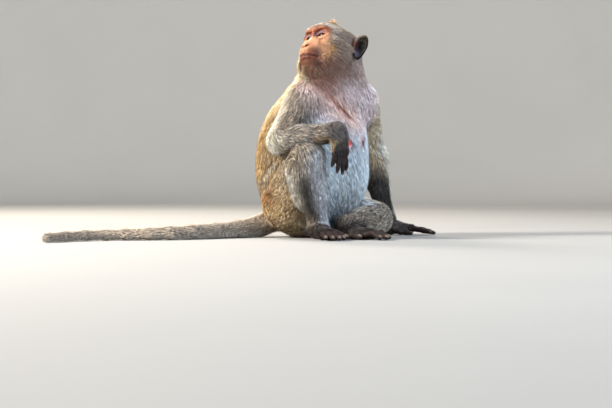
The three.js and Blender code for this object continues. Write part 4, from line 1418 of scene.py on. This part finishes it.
# ---------------------------------------------------------------- eyes and nails
def globe(centre, rows, radii, rings=40, around=64, swell=None):
    """A closed ball, its poles along the first row of its frame; swell adds to the radius by polar angle."""
    polar = np.linspace(0, math.pi, rings + 1)[1:-1]
    turnings = np.arange(around) * 2 * math.pi / around
    grid_polar, grid_turn = np.meshgrid(polar, turnings, indexing="ij")
    angles = np.concatenate([[0], grid_polar.ravel(), [math.pi]])
    turned = np.concatenate([[0], grid_turn.ravel(), [0]])
    local = np.stack([np.cos(angles), np.sin(angles) * np.cos(turned), np.sin(angles) * np.sin(turned)], 1)
    if swell is not None:
        local *= (1 + swell(angles))[:, None]
    vertices = centre + (local * radii) @ np.asarray(rows)
    last = rings - 1
    index = lambda r, k: 1 + r * around + k % around
    k = np.arange(around)
    first = np.stack([np.zeros(around, int), index(0, k), index(0, k + 1)], 1)
    end = np.stack([index(last - 1, k + 1), index(last - 1, k), np.full(around, len(vertices) - 1)], 1)
    corners = [(0, 0), (1, 0), (1, 1), (0, 1)]
    walls = np.concatenate([
        np.stack([index(r + down, k + on) for down, on in corners], 1) for r in range(last - 1)
    ])
    return vertices, [np.concatenate([first, end]), walls], angles


CORNEA = 0.66  # radians from the gaze to the cornea's edge


def eyeball(side):
    s = 1 if side == "left" else -1
    centre = HEAD.at((EYE[0], EYE[1] * s, EYE[2]))
    radius = EYE_RADIUS * HEAD_SIZE
    gaze = HEAD.direction(1.0, 0.16, -0.02)
    across = unit(np.cross(HEAD.rows[2], gaze))
    rows = [gaze, across, np.cross(gaze, across)]
    swell = lambda angle: 0.055 * np.cos(np.clip(angle / CORNEA, 0, 1) * math.pi / 2) ** 2
    vertices, faces, angles = globe(centre, rows, (radius * 0.97,) * 3, swell=swell)
    piece = make_mesh(f"eyeball_{side}", vertices, faces)
    add_value(piece, "from_gaze", angles / math.pi)
    return piece


def nails():
    """A curved plate on the back of each last finger and toe bone."""
    vertices, blocks, total = [], [[], []], 0
    for place, (start, end, radius) in NAILS:
        a, b = np.array(start, float), np.array(end, float)
        along = unit(b - a)
        across = unit(np.cross((0, 0, 1), along))
        up = np.cross(along, across)
        centre = b + along * radius * 0.15 + up * radius * 0.62
        rows = np.array([unit(along - 0.25 * up), across, unit(up + 0.25 * along)])
        radii = np.array([radius * 1.15, radius * 0.78, radius * 0.42])
        ball, faces, _ = globe(centre, rows, radii, rings=10, around=16)
        vertices.append(place.at(ball))
        for block, part in zip(blocks, faces):
            block.append(part + total)
        total += len(ball)
    return make_mesh("nails", np.concatenate(vertices), [np.concatenate(b) for b in blocks])


# ---------------------------------------------------------------- materials
class Graph:
    """A material's nodes, added and linked by short calls."""

    def __init__(self, name):
        self.material = bpy.data.materials.new(name)
        self.material.use_nodes = True
        self.tree = self.material.node_tree
        self.tree.nodes.clear()
        self.shader = self.add("ShaderNodeBsdfPrincipled")
        output = self.add("ShaderNodeOutputMaterial")
        self.link(self.shader.outputs["BSDF"], output.inputs["Surface"])

    def add(self, kind, **settings):
        node = self.tree.nodes.new(kind)
        for key, value in settings.items():
            setattr(node, key, value)
        return node

    def link(self, source, target):
        self.tree.links.new(source, target)

    def set(self, **values):
        for key, value in values.items():
            self.shader.inputs[key.replace("_", " ")].default_value = value

    def attribute(self, name, output="Color"):
        return self.add("ShaderNodeAttribute", attribute_name=name).outputs[output]

    def place(self):
        return self.add("ShaderNodeTexCoord").outputs["Object"]

    def noise(self, scale, detail=3.0, roughness=0.55):
        node = self.add("ShaderNodeTexNoise")
        node.inputs["Scale"].default_value = scale
        node.inputs["Detail"].default_value = detail
        node.inputs["Roughness"].default_value = roughness
        self.link(self.place(), node.inputs["Vector"])
        return node.outputs["Fac"]

    def cells(self, scale):
        node = self.add("ShaderNodeTexVoronoi")
        node.inputs["Scale"].default_value = scale
        self.link(self.place(), node.inputs["Vector"])
        return node.outputs["Distance"]

    def ranged(self, value, low, high):
        node = self.add("ShaderNodeMapRange")
        node.inputs["To Min"].default_value = low
        node.inputs["To Max"].default_value = high
        self.link(value, node.inputs["Value"])
        return node.outputs["Result"]

    def math(self, operation, a, b):
        node = self.add("ShaderNodeMath", operation=operation)
        for socket, value in zip(node.inputs, (a, b)):
            if isinstance(value, (int, float)):
                socket.default_value = value
            else:
                self.link(value, socket)
        return node.outputs["Value"]

    def scaled(self, colour, factor):
        node = self.add("ShaderNodeVectorMath", operation="SCALE")
        self.link(colour, node.inputs[0])
        self.link(factor, node.inputs["Scale"])
        return node.outputs["Vector"]

    def mixed(self, colour, other, share, blend="MIX"):
        node = self.add("ShaderNodeMix", data_type="RGBA", blend_type=blend)
        self.link(share, node.inputs["Factor"])
        self.link(colour, node.inputs["A"])
        node.inputs["B"].default_value = (*other, 1)
        return node.outputs["Result"]

    def bump(self, height, strength, distance):
        node = self.add("ShaderNodeBump")
        node.inputs["Strength"].default_value = strength
        node.inputs["Distance"].default_value = distance
        self.link(height, node.inputs["Height"])
        self.link(node.outputs["Normal"], self.shader.inputs["Normal"])


RED_TINT = (1.25, 0.72, 0.66)


def skin_material():
    g = Graph("skin")
    redness = g.ranged(g.noise(170, 4), -0.15, 0.25)
    mottled = g.mixed(g.attribute("paint"), RED_TINT, redness, "MULTIPLY")
    colour = g.scaled(mottled, g.ranged(g.noise(420, 3), 0.72, 1.28))
    g.link(colour, g.shader.inputs["Base Color"])
    g.link(g.ranged(g.noise(300), 0.48, 0.70), g.shader.inputs["Roughness"])
    folds = g.math("ADD", g.cells(1100), g.math("MULTIPLY", g.noise(520, 4), 0.9))
    g.bump(folds, 0.3, 0.0005)
    g.set(Subsurface_Weight=0.08, Subsurface_Scale=0.004, Specular_IOR_Level=0.11)
    return g.material


def coat_material():
    g = Graph("coat")
    colour = g.scaled(g.attribute("paint"), g.ranged(g.noise(260, 3), 0.78, 1.22))
    g.link(colour, g.shader.inputs["Base Color"])
    g.link(g.ranged(g.noise(900), 0.56, 0.74), g.shader.inputs["Roughness"])
    g.set(Specular_IOR_Level=0.14, Sheen_Weight=0.12, Sheen_Roughness=0.45)
    return g.material


PUPIL = (0.002, 0.002, 0.002)
EYE_STOPS = [  # from the gaze, 0, to the back of the eyeball, 1: pupil, iris, its dark rim, and the white
    (0.0, PUPIL), (0.062, PUPIL), (0.072, hue(26, 15, 10)), (0.150, hue(34, 20, 12)),
    (0.205, hue(12, 8, 6)), (0.23, hue(22, 15, 13)), (0.38, hue(48, 36, 33)),
]


def eye_material():
    g = Graph("eye")
    ramp = g.add("ShaderNodeValToRGB")
    elements = ramp.color_ramp.elements
    while len(elements) < len(EYE_STOPS):
        elements.new(1.0)
    for element, (position, colour) in zip(elements, EYE_STOPS):
        element.position, element.color = position, (*colour, 1)
    angle = g.math("ADD", g.attribute("from_gaze", "Fac"), g.ranged(g.noise(1800, 2), -0.006, 0.006))
    g.link(angle, ramp.inputs["Fac"])
    fibres = g.ranged(g.noise(1500, 2), 0.8, 1.2)
    g.link(g.scaled(ramp.outputs["Color"], fibres), g.shader.inputs["Base Color"])
    g.set(Roughness=0.22, Specular_IOR_Level=0.3, Coat_Weight=0.22, Coat_Roughness=0.12)
    return g.material


def nail_material():
    g = Graph("nail")
    streaked = g.scaled(g.attribute("paint"), g.ranged(g.noise(700), 0.8, 1.2))
    g.link(g.mixed(streaked, NAIL_PALE, g.noise(240, 2)), g.shader.inputs["Base Color"])
    g.bump(g.noise(1400, 2), 0.3, 0.0002)
    g.set(Roughness=0.5, Specular_IOR_Level=0.3)
    return g.material


def floor_material():
    g = Graph("studio")
    g.link(g.scaled(g.attribute("paint"), g.ranged(g.noise(3, 3), 0.95, 1.03)), g.shader.inputs["Base Color"])
    g.set(Roughness=0.85, Specular_IOR_Level=0.1)
    return g.material


# ---------------------------------------------------------------- stage, light and camera
FLOOR_REACH, FLOOR_BEND, WALL_TOP = 2900, 1300, 4200  # radii and height of the round stage
WALL_FADE = (1800, 3600)  # where the floor's grey passes into the wall's


def make_stage(around=96):
    """A pale round floor that curves up into a wall on every side."""
    flat, bend, top = FLOOR_REACH, FLOOR_BEND, WALL_TOP
    arc = [(flat + bend * math.sin(a), bend - bend * math.cos(a)) for a in np.linspace(0, math.pi / 2, 25)]
    profile = [(flat * share, 0) for share in (0.25, 0.5, 0.75)] + arc + [(flat + bend, top)]
    turned = np.arange(around) * 2 * math.pi / around
    rings = [np.stack([r * np.cos(turned), r * np.sin(turned), np.full(around, z)], 1) for r, z in profile]
    vertices = np.concatenate([np.zeros((1, 3))] + rings)
    k = np.arange(around)
    after = (k + 1) % around
    middle = np.stack([np.zeros(around, int), 1 + k, 1 + after], 1)
    ring = np.stack([k, k + around, after + around, after], 1)
    walls = [1 + r * around + ring for r in range(len(profile) - 1)]
    floor = make_mesh("studio_floor", vertices, [middle, np.concatenate(walls)])
    far = step_up(*WALL_FADE, lengths(vertices[:, :2]))
    add_colour(floor, "paint", blend_in(FLOOR_GREY, WALL_GREY, far))
    floor.data.materials.append(floor_material())


def add_light(name, place, power, size, colour, aim=(0, 0, 0.16)):
    data = bpy.data.lights.new(name, "AREA")
    data.energy, data.size, data.color = power, size, colour
    light = bpy.data.objects.new(name, data)
    light.location = place
    light.rotation_euler = (Vector(place) - Vector(aim)).to_track_quat("Z", "Y").to_euler()
    bpy.context.scene.collection.objects.link(light)


def make_lights():
    add_light("key", (-2.2, -0.75, 1.5), 235, 0.6, (1.0, 0.93, 0.82))
    add_light("rim", (-0.9, 1.5, 1.5), 75, 0.7, (1.0, 0.88, 0.72))
    add_light("fill", (1.9, -1.7, 0.9), 104, 1.5, (0.70, 0.84, 1.0))
    add_light("top", (0.4, 0.3, 2.3), 30, 1.2, (0.92, 0.96, 1.0))
    world = bpy.data.worlds.new("studio")
    world.use_nodes = True
    world.node_tree.nodes["Background"].inputs["Color"].default_value = (0.86, 0.92, 1.0, 1)
    world.node_tree.nodes["Background"].inputs["Strength"].default_value = 0.22
    bpy.context.scene.world = world
    bpy.context.scene.view_settings.view_transform = "Standard"


SENSOR, FOCAL = 36.0, 91.9  # millimetres
CAMERA_PLACE = (-0.0064, -2.5, 0.1)  # metres
CAMERA_PITCH = -1.08  # degrees


def make_camera():
    data = bpy.data.cameras.new("camera")
    data.sensor_width, data.lens, data.clip_end = SENSOR, FOCAL, 50
    camera = bpy.data.objects.new("camera", data)
    camera.location = CAMERA_PLACE
    camera.rotation_euler = (math.radians(90 + CAMERA_PITCH), 0, 0)
    bpy.context.scene.collection.objects.link(camera)
    bpy.context.scene.camera = camera


# ---------------------------------------------------------------- the whole model
def make_monkey():
    vertices, faces = skin_surface()
    normals = corner_normals(vertices, faces)
    marks = Marks(vertices, normals)
    paint = marks.colours()
    depth = -OUTLINE.at(vertices)
    skin = make_mesh("skin", vertices, faces)
    # under the coat the skin is painted at half the coat's colour: painted shade deep in the coat
    add_colour(skin, "paint", paint * (1 - 0.5 * (1 - marks.bare) * (1 - 0.8 * marks.down))[:, None])
    skin.data.materials.append(skin_material())
    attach(skin, "root")
    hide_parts(*[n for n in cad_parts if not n.startswith("eye_")])
    hair = coat_material()
    for piece in make_coat(vertices, faces, marks, paint, normals, depth):
        piece.data.materials.append(hair)
        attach(piece, "root")
        "coat_tail" if "tail" in piece.name else "coat_gold" if "trunk" in piece.name else "coat_grey"
    wet = eye_material()
    for side in JOINT:
        piece = eyeball(side)
        piece.data.materials.append(wet)
        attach(piece, "root")
        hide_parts("eye_" + side)
    claws = nails()
    add_colour(claws, "paint", np.tile(NAIL_DARK, (len(claws.data.vertices), 1)))
    claws.data.materials.append(nail_material())
    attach(claws, "root")


make_camera()
make_stage()
make_lights()
make_monkey()
